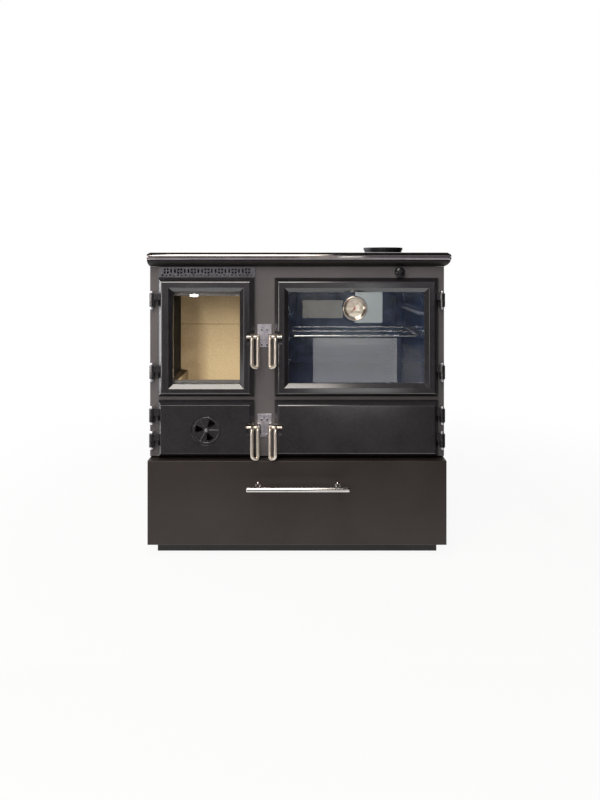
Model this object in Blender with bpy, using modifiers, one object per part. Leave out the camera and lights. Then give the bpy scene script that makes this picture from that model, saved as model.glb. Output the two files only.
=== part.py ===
"""Wood-burning cooking stove with an oven: cast doors, sheet body, wood drawer and cooking plate.

Metres, +X to the right, +Y to the back, +Z up. The origin is on the floor under the middle of the body.
"""

import collections
import math

import bmesh
import bpy
from mathutils import Vector

Door = collections.namedtuple("Door", "name x z side seams axle_z")
Finish = collections.namedtuple("Finish", "colour roughness metallic alpha")

# Fits and tool sizes
SEAT_GAP = 0.0003
OVERRUN = 0.004
MERGE_DISTANCE = 0.00002
SMOOTH_ANGLE_DEG = 35
FULL_TURN_DEG = 360
QUARTERS = 4
QUARTER_TURN_DEG = FULL_TURN_DEG / QUARTERS

# Body
BODY_WIDTH = 0.840
FRONT_Y = -0.230
BACK_Y = 0.320
TOP_HEIGHT = 0.860
BODY_SHEET = 0.003
SIDE_FLANGE = 0.030

# Plinth
PLINTH_HEIGHT = 0.045
PLINTH_SIDE_SETBACK = 0.018
PLINTH_FRONT_SETBACK = 0.019
PLINTH_BACK_SETBACK = 0.020
PLINTH_SHEET = 0.002
PLINTH_FLANGE = 0.030

# Top trim, cornice and cooking plate
TRIM_HEIGHT = 0.020
TRIM_FRONT_OVERHANG = 0.038
TRIM_SIDE_OVERHANG = 0.010
TRIM_RAIL = 0.022
TRIM_ROUNDING = 0.006
TRIM_LEDGE_WIDTH = 0.010
TRIM_LEDGE_THICKNESS = 0.0035
TOP_SHIFT = 0.005
CORNICE_HEIGHT = 0.0195
CORNICE_STEP_BACK = 0.003
CORNICE_START_DEG = 40
CORNICE_SEAT = 0.012
HOB_THICKNESS = 0.014
HOB_BELOW_TRIM = 0.002
HOB_EYE_Y = -0.020
RING_OUTER_RADIUS = 0.115
RING_SEAT_WIDTH = 0.010
RING_SEAT_DEPTH = 0.008
RING_PLAY = 0.0006
LID_RADIUS = 0.060
LID_SEAT_WIDTH = 0.007
LID_SEAT_DEPTH = 0.004
LID_BOSS_RADIUS = 0.040
LID_BOSS_DEPTH = 0.004
LIFT_SLOT_LENGTH = 0.024
LIFT_SLOT_WIDTH = 0.009
LIFT_SLOT_DEPTH = 0.0032

# Front plate, column and door places
PLATE_THICKNESS = 0.008
PLATE_BELOW_DOORS = 0.002
COLUMN_WIDTH = 0.058
LEFT_STILE = 0.025
LEFT_DOOR_WIDTH = 0.273
RIGHT_STILE = 0.019
UPPER_DOOR_BOTTOM = 0.451
UPPER_DOOR_BELOW_TOP = 0.072
LOWER_DOOR_BOTTOM = 0.281
LOWER_DOOR_TOP = 0.440

# Doors
DOOR_GAP = 0.0018
DOOR_DEPTH = 0.028
CHAMFER_WIDTH = 0.011
CHAMFER_DEPTH = 0.018
INNER_BEVEL_WIDTH = 0.012
INNER_BEVEL_DEPTH = 0.010
WINDOW_HINGE_RAIL = 0.044
WINDOW_RAIL = 0.040
FIREBOX_WINDOW_TOP_RAIL = 0.039
FIREBOX_WINDOW_BOTTOM_RAIL = 0.036
OVEN_WINDOW_BOTTOM_RAIL = 0.0385
GLASS_THICKNESS = 0.004
GLASS_SETBACK = 0.016
GLASS_REBATE = 0.008
RETAINER_THICKNESS = 0.002
SEAL_INSET = 0.011
SEAL_WIDTH = 0.008
SEAL_DEPTH = 0.005
PANEL_THICKNESS = 0.010
PANEL_RIM = 0.033
LOWER_OPENING_INSET = 0.024
FIREBOX_MOUTH_MARGIN = 0.004
MOUTH_BELOW_WINDOW_TOP = 0.0128
MOUTH_ABOVE_WINDOW_BOTTOM = 0.0086

# Hinges
KNUCKLE_RADIUS = 0.008
KNUCKLE_LENGTH = 0.019
HINGE_STANDOFF = 0.0155
PIN_RADIUS = 0.004
PIN_PLAY = 0.0004
DOME_RADIUS = 0.0052
DOME_HEIGHT = 0.008
ARM_THICKNESS = 0.010
ARM_PAST_AXIS = 0.001
UPPER_SEAM_BELOW_TOP = 0.063
UPPER_SEAM_ABOVE_BOTTOM = 0.0695
LOWER_SEAM_BELOW_TOP = 0.042
LOWER_SEAM_ABOVE_BOTTOM = 0.046

# Latches and keepers
UPPER_AXLE_ABOVE_MIDDLE = 0.001
LOWER_AXLE_ABOVE_MIDDLE = 0.004
AXLE_RADIUS = 0.0048
AXLE_BORE_DEPTH = 0.008
AXLE_PLAY = 0.0005
AXLE_BEHIND_FACE = 0.0098
NOTCH_WIDTH = 0.0215
NOTCH_ABOVE = 0.0165
NOTCH_BELOW = 0.0180
NOTCH_DEPTH = 0.021
LOOP_RADIUS = 0.0048
LOOP_DROP = 0.089
LOOP_HEEL = 0.005
LOOP_REACH = 0.031
LOOP_INNER_REACH = 0.019
LOOP_BEND = 0.011
LOOP_INNER_BEND = 0.008
LOOP_OUTER_IN = 0.004
LOOP_INNER_OUT = 0.012
CATCH_WIDTH = 0.006
CATCH_HEIGHT = 0.008
CATCH_REACH = 0.009
KEEPER_WIDTH = 0.040
KEEPER_TAIL_WIDTH = 0.0235
KEEPER_THICKNESS = 0.004
KEEPER_ABOVE = 0.035
KEEPER_SHOULDER = 0.006
KEEPER_BELOW = 0.030
KEEPER_SPLIT = 0.0024
KEEPER_SPLIT_DEPTH = 0.0026
BOLT_RADIUS = 0.0036
BOLT_HEIGHT = 0.0022
BOLT_SPACING = 0.0150
UPPER_BOLT_ABOVE = 0.019
LOWER_BOLT_BELOW = 0.024

# Firebox, ash pit and hearth
HEARTH_BOTTOM = 0.297
SHELL_WALL = 0.004
SHELL_LEFT_GAP = 0.022
SHELL_PAST_DOOR = 0.015
SHELL_BACK = 0.152
SHELL_TOP_CLEARANCE = 0.0006
GRATE_FLOOR_BOTTOM = 0.408
GRATE_FLOOR_THICKNESS = 0.008
GRATE_WIDTH = 0.170
GRATE_DEPTH = 0.240
GRATE_THICKNESS = 0.015
GRATE_SEAT = 0.012
GRATE_Y = -0.045
GRATE_SLOT = 0.010
GRATE_BAR = 0.011
GRATE_RIM = 0.014
SMOKE_NOTCH_DEPTH = 0.250
SMOKE_NOTCH_HEIGHT = 0.072
BRICK_THICKNESS = 0.028
SIDE_BRICK_THICKNESS = 0.025
BACK_BRICK_BELOW_TOP = 0.060
SIDE_BRICK_HEIGHT = 0.057
LOWER_BRICK_HEIGHT = 0.2115
BRICK_JOINT_WIDTH = 0.002
BRICK_JOINT_DEPTH = 0.003
BRICK_FRONT_CLEARANCE = 0.020
ASH_PAN_SHEET = 0.0015
ASH_PAN_SIDE_CLEARANCE = 0.020
ASH_PAN_FRONT_CLEARANCE = 0.012
ASH_PAN_DEPTH = 0.300
ASH_PAN_HEIGHT = 0.060
PULL_WIDTH = 0.060
PULL_HEIGHT = 0.012
PULL_REACH = 0.008

# Oven
OVEN_SIDE_INSET = 0.0365
OVEN_BOTTOM_INSET = 0.035
OVEN_TOP_INSET = 0.036
OVEN_BACK = 0.205
OVEN_SHEET = 0.0025
OVEN_FLANGE = 0.014
RIB_REACH = 0.014
RIB_HEIGHT = 0.004
RIB_SETBACK = 0.010
RIB_LENGTH = 0.390
RACK_BELOW_MIDDLE = 0.0028
RIB_SPACING_SHARE = 0.24436
RACK_SIDE_CLEARANCE = 0.008
RACK_FRONT_Y = -0.205
RACK_DEPTH = 0.300
RACK_WIRE_RADIUS = 0.0027
RACK_CROSS_RADIUS = 0.0022
RACK_BAR_RADIUS = 0.0018
RACK_BAR_COUNT = 11
RACK_CORNER_RADIUS = 0.012

# Flue and damper
FLUE_FROM_RIGHT = 0.129
FLUE_Y = 0.162
FLUE_BORE_RADIUS = 0.059
COLLAR_RIM_RADIUS = 0.066
COLLAR_NECK_RADIUS = 0.063
COLLAR_FLANGE_RADIUS = 0.077
COLLAR_FLANGE_THICKNESS = 0.005
COLLAR_RIM_HEIGHT = 0.009
COLLAR_HEIGHT = 0.0250
DUCT_WIDTH = 0.150
DUCT_WALL = 0.003
DUCT_DROP = 0.068
DAMPER_BELOW_TOP = 0.0555
DAMPER_PLATE_THICKNESS = 0.003
DAMPER_PLAY = 0.002
DAMPER_LAP = 0.060
ROD_RADIUS = 0.004
ROD_PLAY = 0.0006
KNOB_RADIUS = 0.0145
KNOB_LENGTH = 0.024
KNOB_NECK_RADIUS = 0.0075
KNOB_STANDOFF = 0.006
KNOB_SOCKET_DEPTH = 0.010

# Vent grille
GRILLE_BELOW_CORNICE = 0.002
GRILLE_PAST_DOOR = 0.003
GRILLE_HEIGHT = 0.0285
GRILLE_THICKNESS = 0.004
GRILLE_RIM = 0.0020
MEDALLION_COUNT = 7
MEDALLION_RADIUS = 0.0088
MEDALLION_SPACING = 0.0387
MEDALLION_BAR = 0.0030
OVAL_WIDTH = 0.0052
OVAL_HEIGHT = 0.0140
OVAL_OFFSET = 0.0054
LATTICE_HEIGHT = 0.0056
LATTICE_PITCH = 0.0110
LATTICE_BAR = 0.0024
VENT_SLOT_MARGIN = 0.006
VENT_SLOT_RIM = 0.004

# Air rosette on the ash door
ROSETTE_RIGHT_OF_MIDDLE = 0.0025
ROSETTE_BELOW_MIDDLE = 0.0015
ROSETTE_RADIUS = 0.040
ROSETTE_THICKNESS = 0.003
ROSETTE_RECESS_RADIUS = 0.0435
ROSETTE_RECESS_DEPTH = 0.005
AIR_HOLE_INNER = 0.010
AIR_HOLE_OUTER = 0.031
AIR_HOLE_COUNT = 3
AIR_HOLE_SPAN_DEG = 40
AIR_HOLE_START_DEG = 53
SCREW_RADIUS = 0.0025
SCREW_PLAY = 0.0004
SCREW_HEAD_RADIUS = 0.0052
SCREW_HEAD_HEIGHT = 0.0030
SCREW_PAST_PANEL = 0.004

# Thermometer on the oven glass
GAUGE_LEFT_OF_MIDDLE = 0.005
GAUGE_BELOW_DOOR_TOP = 0.086
GAUGE_RADIUS = 0.035
GAUGE_DEPTH = 0.013
GAUGE_BEZEL_WIDTH = 0.0050
GAUGE_BEZEL_ROUNDING = 0.0025
GAUGE_WELL_DEPTH = 0.006
DIAL_THICKNESS = 0.001
NEEDLE_LENGTH = 0.023
NEEDLE_TAIL = 0.007
NEEDLE_WIDTH = 0.0026
NEEDLE_THICKNESS = 0.0008
NEEDLE_LIFT = 0.0012
NEEDLE_HUB_RADIUS = 0.0032
NEEDLE_REST_DEG = -135

# Drawer
DRAWER_BOTTOM = 0.0385
DRAWER_BELOW_DOORS = 0.006
DRAWER_PROJECTION = 0.038
DRAWER_SHEET = 0.002
DRAWER_EDGE_CHAMFER = 0.0015
DRAWER_BACK_CLEARANCE = 0.0005
DRAWER_BOX_SIDE_GAP = 0.030
DRAWER_BOX_BACK = 0.270
DRAWER_BOX_BOTTOM = 0.062
DRAWER_BOX_TOP = 0.240
RUNNER_THICKNESS = 0.003
RUNNER_HEIGHT = 0.030
RUNNER_LENGTH = 0.480
RUNNER_SETBACK = 0.005
RUNNER_LAP = 0.012
BAR_RADIUS = 0.007
BAR_LENGTH = 0.284
BAR_X = 0.0025
BAR_BELOW_DRAWER_TOP = 0.067
BAR_REACH = 0.052
STANDOFF_SPACING = 0.224
STANDOFF_RADIUS = 0.0045
ROSE_RADIUS = 0.008
ROSE_THICKNESS = 0.003

# Facet counts
ROUND_STEPS = 40
SMALL_STEPS = 16
TINY_STEPS = 12
WIRE_STEPS = 8
CURVE_WEIGHT = 1
BOLT_STEPS = 6
DOME_STEPS = 3
BEND_STEPS = 3
CORNICE_STEPS = 8
TRIM_ROUNDING_STEPS = 3
KNOB_CROWN_STEPS = 4
QUARTER_STEPS = 3
OVAL_STEPS = 8
AIR_HOLE_STEPS = 4
LOOP_ROUNDNESS = 3
WIRE_ROUNDNESS = 2
KNOB_STEPS = 24

# Finishes, as linear colour, roughness, metallic value and opacity
CAST_PAINT = Finish((0.036, 0.034, 0.042), 0.45, 0.35, 1.0)
BODY_PAINT = Finish((0.085, 0.078, 0.075), 0.42, 0.45, 1.0)
DRAWER_PAINT = Finish((0.066, 0.056, 0.052), 0.45, 0.40, 1.0)
BLACK_PAINT = Finish((0.012, 0.012, 0.013), 0.50, 0.10, 1.0)
POLISHED_STEEL = Finish((0.620, 0.600, 0.580), 0.12, 1.0, 1.0)
CHROME = Finish((0.700, 0.660, 0.620), 0.10, 1.0, 1.0)
IRON = Finish((0.040, 0.040, 0.042), 0.65, 0.60, 1.0)
ENAMEL = Finish((0.012, 0.018, 0.035), 0.18, 0.0, 1.0)
FIREBRICK = Finish((0.560, 0.410, 0.220), 0.90, 0.0, 1.0)
ZINC_SHEET = Finish((0.320, 0.320, 0.330), 0.40, 0.90, 1.0)
ROPE = Finish((0.050, 0.050, 0.050), 0.95, 0.0, 1.0)
CLEAR_GLASS = Finish((0.800, 0.850, 0.850), 0.05, 0.0, 0.25)
DIAL_FACE = Finish((0.700, 0.700, 0.680), 0.50, 0.0, 1.0)
NEEDLE_RED = Finish((0.450, 0.030, 0.020), 0.40, 0.0, 1.0)

# Places worked out from the sizes
HALF_WIDTH = BODY_WIDTH / 2
UPPER_DOOR_TOP = TOP_HEIGHT - UPPER_DOOR_BELOW_TOP
PLATE_BOTTOM = LOWER_DOOR_BOTTOM - PLATE_BELOW_DOORS
LEFT_DOOR_EDGE = LEFT_STILE - HALF_WIDTH
RIGHT_DOOR_EDGE = HALF_WIDTH - RIGHT_STILE
COLUMN_LEFT = LEFT_DOOR_EDGE + LEFT_DOOR_WIDTH
COLUMN_RIGHT = COLUMN_LEFT + COLUMN_WIDTH
UPPER_SEAMS = (UPPER_DOOR_TOP - UPPER_SEAM_BELOW_TOP, UPPER_DOOR_BOTTOM + UPPER_SEAM_ABOVE_BOTTOM)
LOWER_SEAMS = (LOWER_DOOR_TOP - LOWER_SEAM_BELOW_TOP, LOWER_DOOR_BOTTOM + LOWER_SEAM_ABOVE_BOTTOM)
UPPER_AXLE_Z = (UPPER_DOOR_BOTTOM + UPPER_DOOR_TOP) / 2 + UPPER_AXLE_ABOVE_MIDDLE
LOWER_AXLE_Z = (LOWER_DOOR_BOTTOM + LOWER_DOOR_TOP) / 2 + LOWER_AXLE_ABOVE_MIDDLE
ROSETTE_X = (LEFT_DOOR_EDGE + COLUMN_LEFT) / 2 + ROSETTE_RIGHT_OF_MIDDLE
ROSETTE_Z = (LOWER_DOOR_BOTTOM + LOWER_DOOR_TOP) / 2 - ROSETTE_BELOW_MIDDLE
GAUGE_X = (COLUMN_RIGHT + RIGHT_DOOR_EDGE) / 2 - GAUGE_LEFT_OF_MIDDLE
GAUGE_Z = UPPER_DOOR_TOP - GAUGE_BELOW_DOOR_TOP
GRILLE_LEFT = LEFT_DOOR_EDGE
GRILLE_RIGHT = COLUMN_LEFT + GRILLE_PAST_DOOR
DRAWER_TOP = LOWER_DOOR_BOTTOM - DRAWER_BELOW_DOORS
DRAWER_BOX_WIDTH = BODY_WIDTH - 2 * DRAWER_BOX_SIDE_GAP
BAR_Z = DRAWER_TOP - BAR_BELOW_DRAWER_TOP
FLUE_X = HALF_WIDTH - FLUE_FROM_RIGHT
DAMPER_Z = TOP_HEIGHT - DAMPER_BELOW_TOP
SHELL_RIGHT = COLUMN_LEFT + SHELL_PAST_DOOR
TRIM_BOTTOM = TOP_HEIGHT - TRIM_HEIGHT
CORNICE_TOP = TRIM_BOTTOM - SEAT_GAP
CORNICE_BOTTOM = CORNICE_TOP - CORNICE_HEIGHT
PANEL_TOP = CORNICE_BOTTOM - SEAT_GAP
TRIM_X = (TOP_SHIFT - HALF_WIDTH - TRIM_SIDE_OVERHANG, TOP_SHIFT + HALF_WIDTH + TRIM_SIDE_OVERHANG)
TRIM_Y = (FRONT_Y - TRIM_FRONT_OVERHANG, BACK_Y)
PLATE_BACK = FRONT_Y + PLATE_THICKNESS
INSIDE_FRONT = PLATE_BACK + SEAT_GAP
INSIDE_BACK = BACK_Y - BODY_SHEET - SEAT_GAP
INSIDE_HALF = HALF_WIDTH - BODY_SHEET - SEAT_GAP
DOOR_BACK = FRONT_Y - DOOR_GAP
DOOR_FRONT = DOOR_BACK - DOOR_DEPTH
GLASS_FRONT = DOOR_FRONT + GLASS_SETBACK
GLASS_BACK = GLASS_FRONT + GLASS_THICKNESS
HINGE_X = HALF_WIDTH - KNUCKLE_RADIUS
HINGE_Y = FRONT_Y - HINGE_STANDOFF
AXLE_Y = DOOR_FRONT + AXLE_BEHIND_FACE
COLUMN_X = (COLUMN_LEFT + COLUMN_RIGHT) / 2
HEARTH_TOP = HEARTH_BOTTOM + BODY_SHEET
SHELL_LEFT = SHELL_LEFT_GAP - INSIDE_HALF
SHELL_BOTTOM = HEARTH_TOP + SEAT_GAP
SHELL_X = (SHELL_LEFT + SHELL_WALL, SHELL_RIGHT - SHELL_WALL)
SHELL_INNER_BACK = SHELL_BACK - SHELL_WALL
PIT_FLOOR = SHELL_BOTTOM + SHELL_WALL
FIRE_FLOOR = GRATE_FLOOR_BOTTOM + GRATE_FLOOR_THICKNESS
BACK_BRICK_TOP = TOP_HEIGHT - BACK_BRICK_BELOW_TOP
BRICK_JOINT_Z = FIRE_FLOOR + LOWER_BRICK_HEIGHT
SIDE_BRICK_TOP = FIRE_FLOOR + SIDE_BRICK_HEIGHT
FIRE_X = (SHELL_X[0] + SHELL_X[1]) / 2
HOB_TOP = TOP_HEIGHT - HOB_BELOW_TRIM
HOB_BOTTOM = HOB_TOP - HOB_THICKNESS
DRAWER_FACE = FRONT_Y - DRAWER_PROJECTION
OVEN_BOTTOM = UPPER_DOOR_BOTTOM + OVEN_BOTTOM_INSET
OVEN_TOP = UPPER_DOOR_TOP - OVEN_TOP_INSET
OVEN_X = (COLUMN_RIGHT + OVEN_SIDE_INSET, RIGHT_DOOR_EDGE - OVEN_SIDE_INSET)
OVEN_Z = (OVEN_BOTTOM, OVEN_TOP)
RACK_RIB_TOP = (OVEN_BOTTOM + OVEN_TOP) / 2 - RACK_BELOW_MIDDLE
RIB_SPACING = (OVEN_TOP - OVEN_BOTTOM) * RIB_SPACING_SHARE

FIREBOX_DOOR = Door(
    "firebox_door", (LEFT_DOOR_EDGE, COLUMN_LEFT), (UPPER_DOOR_BOTTOM, UPPER_DOOR_TOP),
    -1, UPPER_SEAMS, UPPER_AXLE_Z,
)
OVEN_DOOR = Door(
    "oven_door", (COLUMN_RIGHT, RIGHT_DOOR_EDGE), (UPPER_DOOR_BOTTOM, UPPER_DOOR_TOP),
    1, UPPER_SEAMS, UPPER_AXLE_Z,
)
ASH_DOOR = Door(
    "ash_door", (LEFT_DOOR_EDGE, COLUMN_LEFT), (LOWER_DOOR_BOTTOM, LOWER_DOOR_TOP),
    -1, LOWER_SEAMS, LOWER_AXLE_Z,
)
SOOT_DOOR = Door(
    "soot_door", (COLUMN_RIGHT, RIGHT_DOOR_EDGE), (LOWER_DOOR_BOTTOM, LOWER_DOOR_TOP),
    1, LOWER_SEAMS, LOWER_AXLE_Z,
)
DOORS = (FIREBOX_DOOR, OVEN_DOOR, ASH_DOOR, SOOT_DOOR)


def clear_scene():
    for obj in list(bpy.data.objects):
        bpy.data.objects.remove(obj, do_unlink=True)


def collection(name):
    made = bpy.data.collections.new(name)
    bpy.context.scene.collection.children.link(made)
    return made


clear_scene()
PARTS = collection("wood_stove_with_oven")
CUTTERS = collection("wood_stove_cutters")


def link(name, mesh, helper=False):
    obj = bpy.data.objects.new(name, mesh)
    (CUTTERS if helper else PARTS).objects.link(obj)
    if helper:
        obj.hide_render = True
        obj.display_type = "WIRE"
    return obj


def from_bmesh(name, bm, place, helper):
    mesh = bpy.data.meshes.new(name)
    bm.to_mesh(mesh)
    bm.free()
    obj = link(name, mesh, helper)
    obj.location = place
    return obj


def middle(pair):
    return (pair[0] + pair[1]) / 2


def inset(pair, by, far_by=None):
    """The pair with both ends drawn in; a second amount draws in the high end by its own value."""
    return pair[0] + by, pair[1] - (by if far_by is None else far_by)


def around(centre, width):
    return centre - width / 2, centre + width / 2


def block(name, x, y, z, helper=False):
    """A box between the low and high values of each pair."""
    bm = bmesh.new()
    bmesh.ops.create_cube(bm, size=1)
    bmesh.ops.scale(bm, vec=(x[1] - x[0], y[1] - y[0], z[1] - z[0]), verts=bm.verts)
    return from_bmesh(name, bm, (middle(x), middle(y), middle(z)), helper)


TURNS = {"X": (0, math.pi / 2, 0), "Y": (math.pi / 2, 0, 0), "Z": (0, 0, 0)}


def rod(name, radius, start, end, axis, helper=False, steps=SMALL_STEPS):
    """A cylinder from start to end, two points that differ along one axis."""
    start, end = Vector(start), Vector(end)
    bm = bmesh.new()
    bmesh.ops.create_cone(
        bm, cap_ends=True, segments=steps, radius1=radius, radius2=radius, depth=(end - start).length
    )
    obj = from_bmesh(name, bm, (start + end) / 2, helper)
    obj.rotation_euler = TURNS[axis]
    return obj


def turned(name, profile, place, axis="Z", steps=ROUND_STEPS, closed=False, helper=False):
    """A turned piece: the profile holds (radius, height) pairs and runs down its outer side."""
    bm = bmesh.new()
    verts = [bm.verts.new((radius, 0, height)) for radius, height in profile]
    pairs = list(zip(verts, verts[1:]))
    if closed:
        pairs.append((verts[-1], verts[0]))
    for first, second in pairs:
        bm.edges.new((first, second))
    obj = from_bmesh(name, bm, place, helper)
    obj.rotation_euler = TURNS[axis]
    screw = obj.modifiers.new("turn", "SCREW")
    screw.steps = steps
    screw.render_steps = steps
    screw.use_merge_vertices = True
    screw.merge_threshold = MERGE_DISTANCE
    return obj


def mesh_of_curve(name, curve, helper):
    """The curve's solid as a mesh object, its caps welded on."""
    guide = bpy.data.objects.new(name + "_guide", curve)
    CUTTERS.objects.link(guide)
    bpy.context.view_layer.update()
    graph = bpy.context.evaluated_depsgraph_get()
    mesh = bpy.data.meshes.new_from_object(guide.evaluated_get(graph))
    bm = bmesh.new()
    bm.from_mesh(mesh)
    bmesh.ops.remove_doubles(bm, verts=bm.verts, dist=MERGE_DISTANCE)
    bmesh.ops.recalc_face_normals(bm, faces=bm.faces)
    bm.to_mesh(mesh)
    bm.free()
    obj = link(name, mesh, helper)
    obj.matrix_world = guide.matrix_world
    bpy.data.objects.remove(guide, do_unlink=True)
    return obj


def wire(name, points, radius, cyclic=False, helper=False, resolution=WIRE_ROUNDNESS):
    curve = bpy.data.curves.new(name, "CURVE")
    curve.dimensions = "3D"
    curve.bevel_depth = radius
    curve.bevel_resolution = resolution
    curve.use_fill_caps = not cyclic
    spline = curve.splines.new("POLY")
    spline.points.add(len(points) - 1)
    for knot, point in zip(spline.points, points):
        knot.co = (*point, CURVE_WEIGHT)
    spline.use_cyclic_u = cyclic
    return mesh_of_curve(name, curve, helper)


def outline_solid(name, outlines, y, helper=False):
    """Flat outlines of (x, z) points, made into solids between the two y values."""
    curve = bpy.data.curves.new(name, "CURVE")
    curve.dimensions = "2D"
    curve.fill_mode = "BOTH"
    curve.extrude = (y[1] - y[0]) / 2
    for outline in outlines:
        spline = curve.splines.new("POLY")
        spline.points.add(len(outline) - 1)
        for knot, (x, z) in zip(spline.points, outline):
            knot.co = (x, z, 0, CURVE_WEIGHT)
        spline.use_cyclic_u = True
    obj = mesh_of_curve(name, curve, helper)
    obj.rotation_euler = TURNS["Y"]
    obj.location = (0, middle(y), 0)
    return obj


def combine(target, other, operation):
    modifier = target.modifiers.new(other.name, "BOOLEAN")
    modifier.operation = operation
    modifier.object = other
    return target


def cut(target, *others):
    for other in others:
        combine(target, other, "DIFFERENCE")
    return target


def join(target, *others):
    for other in others:
        combine(target, other, "UNION")
    return target


def round_edges(obj, width, segments):
    bevel = obj.modifiers.new("rounding", "BEVEL")
    bevel.width = width
    bevel.segments = segments
    bevel.limit_method = "ANGLE"
    return obj


def finish(obj, look, smooth=False):
    """Gives the piece its own material and, on a round piece, smooth shading."""
    material = bpy.data.materials.new(obj.name + "_finish")
    material.use_nodes = True
    shader = material.node_tree.nodes["Principled BSDF"]
    shader.inputs["Base Color"].default_value = (*look.colour, 1)
    shader.inputs["Roughness"].default_value = look.roughness
    shader.inputs["Metallic"].default_value = look.metallic
    shader.inputs["Alpha"].default_value = look.alpha
    obj.data.materials.clear()
    obj.data.materials.append(material)
    if smooth:
        obj.data.shade_smooth()
        obj.data.set_sharp_from_angle(angle=math.radians(SMOOTH_ANGLE_DEG))
    return obj


def axis_empty(name, place):
    """An empty on a joint's axis, which carries the pieces that move together."""
    empty = bpy.data.objects.new(name, None)
    PARTS.objects.link(empty)
    empty.location = place
    return empty


def carry(empty, *pieces):
    bpy.context.view_layer.update()
    for piece in pieces:
        piece.parent = empty
        piece.matrix_parent_inverse = empty.matrix_world.inverted()


# Body


def make_plinth():
    x = inset((-HALF_WIDTH, HALF_WIDTH), PLINTH_SIDE_SETBACK)
    y = (FRONT_Y + PLINTH_FRONT_SETBACK, BACK_Y - PLINTH_BACK_SETBACK)
    body = block("plinth", x, y, (0, PLINTH_HEIGHT))
    hollow = block(
        "plinth_hollow", inset(x, PLINTH_SHEET), inset(y, PLINTH_SHEET),
        inset((0, PLINTH_HEIGHT), PLINTH_SHEET), True,
    )
    mouth = block(
        "plinth_mouth", inset(x, PLINTH_FLANGE), inset(y, PLINTH_FLANGE), (-OVERRUN, PLINTH_HEIGHT / 2), True
    )
    return finish(cut(body, hollow, mouth), BLACK_PAINT)


def make_side_panel(name, side):
    x = sorted((side * HALF_WIDTH, side * (HALF_WIDTH - SIDE_FLANGE)))
    wall_x = sorted((side * (HALF_WIDTH - BODY_SHEET), side * (HALF_WIDTH - SIDE_FLANGE - OVERRUN)))
    y = (INSIDE_FRONT, INSIDE_BACK)
    z = (PLINTH_HEIGHT + SEAT_GAP, PANEL_TOP)
    panel = block(name, x, y, z)
    inner = block(
        name + "_inner", wall_x, (y[0] - OVERRUN, y[1] + OVERRUN), (z[0] + BODY_SHEET, z[1] + OVERRUN), True
    )
    return finish(cut(panel, inner), BODY_PAINT)


def make_back_panel():
    z = (PLINTH_HEIGHT + SEAT_GAP, CORNICE_TOP)
    panel = block("back_panel", (-HALF_WIDTH, HALF_WIDTH), (BACK_Y - BODY_SHEET, BACK_Y), z)
    return finish(panel, BODY_PAINT)


def make_hearth_plate():
    z = (HEARTH_BOTTOM, HEARTH_TOP)
    plate = block("hearth_plate", (-INSIDE_HALF, INSIDE_HALF), (INSIDE_FRONT, INSIDE_BACK), z)
    return finish(plate, BODY_PAINT)


def hinge_knuckle(name, door, low, high, reach_x, reach_y):
    """A knuckle round the hinge axis with its bore, and the arm that joins it to its carrier."""
    x = door.side * HINGE_X
    tube = rod(name + "_tube", KNUCKLE_RADIUS, (x, HINGE_Y, low), (x, HINGE_Y, high), "Z", True)
    arm = block(name + "_arm", reach_x, reach_y, (low, high), True)
    return tube, arm


def hinge_bore(name, door):
    x = door.side * HINGE_X
    return rod(name, PIN_RADIUS + PIN_PLAY, (x, HINGE_Y, 0), (x, HINGE_Y, TOP_HEIGHT), "Z", True, TINY_STEPS)


def make_front_plate():
    plate = block("front_plate", (-HALF_WIDTH, HALF_WIDTH), (FRONT_Y, PLATE_BACK), (PLATE_BOTTOM, PANEL_TOP))
    for door in DOORS:
        x = door.side * HINGE_X
        for seam in door.seams:
            name = f"{door.name}_body_knuckle_{seam}"
            reach_x = around(x, ARM_THICKNESS)
            reach_y = (HINGE_Y - ARM_PAST_AXIS, FRONT_Y + PLATE_THICKNESS / 2)
            join(plate, *hinge_knuckle(name, door, seam - KNUCKLE_LENGTH, seam, reach_x, reach_y))
    cut(plate, hinge_bore("left_body_bore", FIREBOX_DOOR), hinge_bore("right_body_bore", OVEN_DOOR))
    y = (FRONT_Y - OVERRUN, PLATE_BACK + OVERRUN)
    window_x, window_z = window_of(FIREBOX_DOOR)
    mouth_z = (window_z[0] + MOUTH_ABOVE_WINDOW_BOTTOM, window_z[1] - MOUTH_BELOW_WINDOW_TOP)
    mouth = inset(window_x, -FIREBOX_MOUTH_MARGIN), y, mouth_z
    cut(plate, block("firebox_mouth", *mouth, True))
    cut(plate, block("oven_mouth", OVEN_X, y, OVEN_Z, True))
    for door in (ASH_DOOR, SOOT_DOOR):
        mouth = inset(door.x, LOWER_OPENING_INSET), y, inset(door.z, LOWER_OPENING_INSET)
        cut(plate, block(door.name + "_mouth", *mouth, True))
    grille_z = grille_height()
    vent = inset((GRILLE_LEFT, GRILLE_RIGHT), VENT_SLOT_MARGIN), y, inset(grille_z, VENT_SLOT_RIM)
    cut(plate, block("vent_slot", *vent, True))
    hole = rod("rod_hole", ROD_RADIUS + ROD_PLAY, (FLUE_X, y[0], DAMPER_Z), (FLUE_X, y[1], DAMPER_Z), "Y", True)
    return finish(cut(plate, hole), BODY_PAINT)


# Top


def loft(name, loops, helper=False):
    """A closed solid through loops of corners, one after the other."""
    bm = bmesh.new()
    rows = [[bm.verts.new(corner) for corner in loop] for loop in loops]
    for near, far in zip(rows, rows[1:]):
        for i, corner in enumerate(near):
            j = (i + 1) % len(near)
            bm.faces.new((corner, near[j], far[j], far[i]))
    bm.faces.new(rows[0])
    bm.faces.new(rows[-1])
    bmesh.ops.recalc_face_normals(bm, faces=bm.faces)
    return from_bmesh(name, bm, (0, 0, 0), helper)


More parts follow.
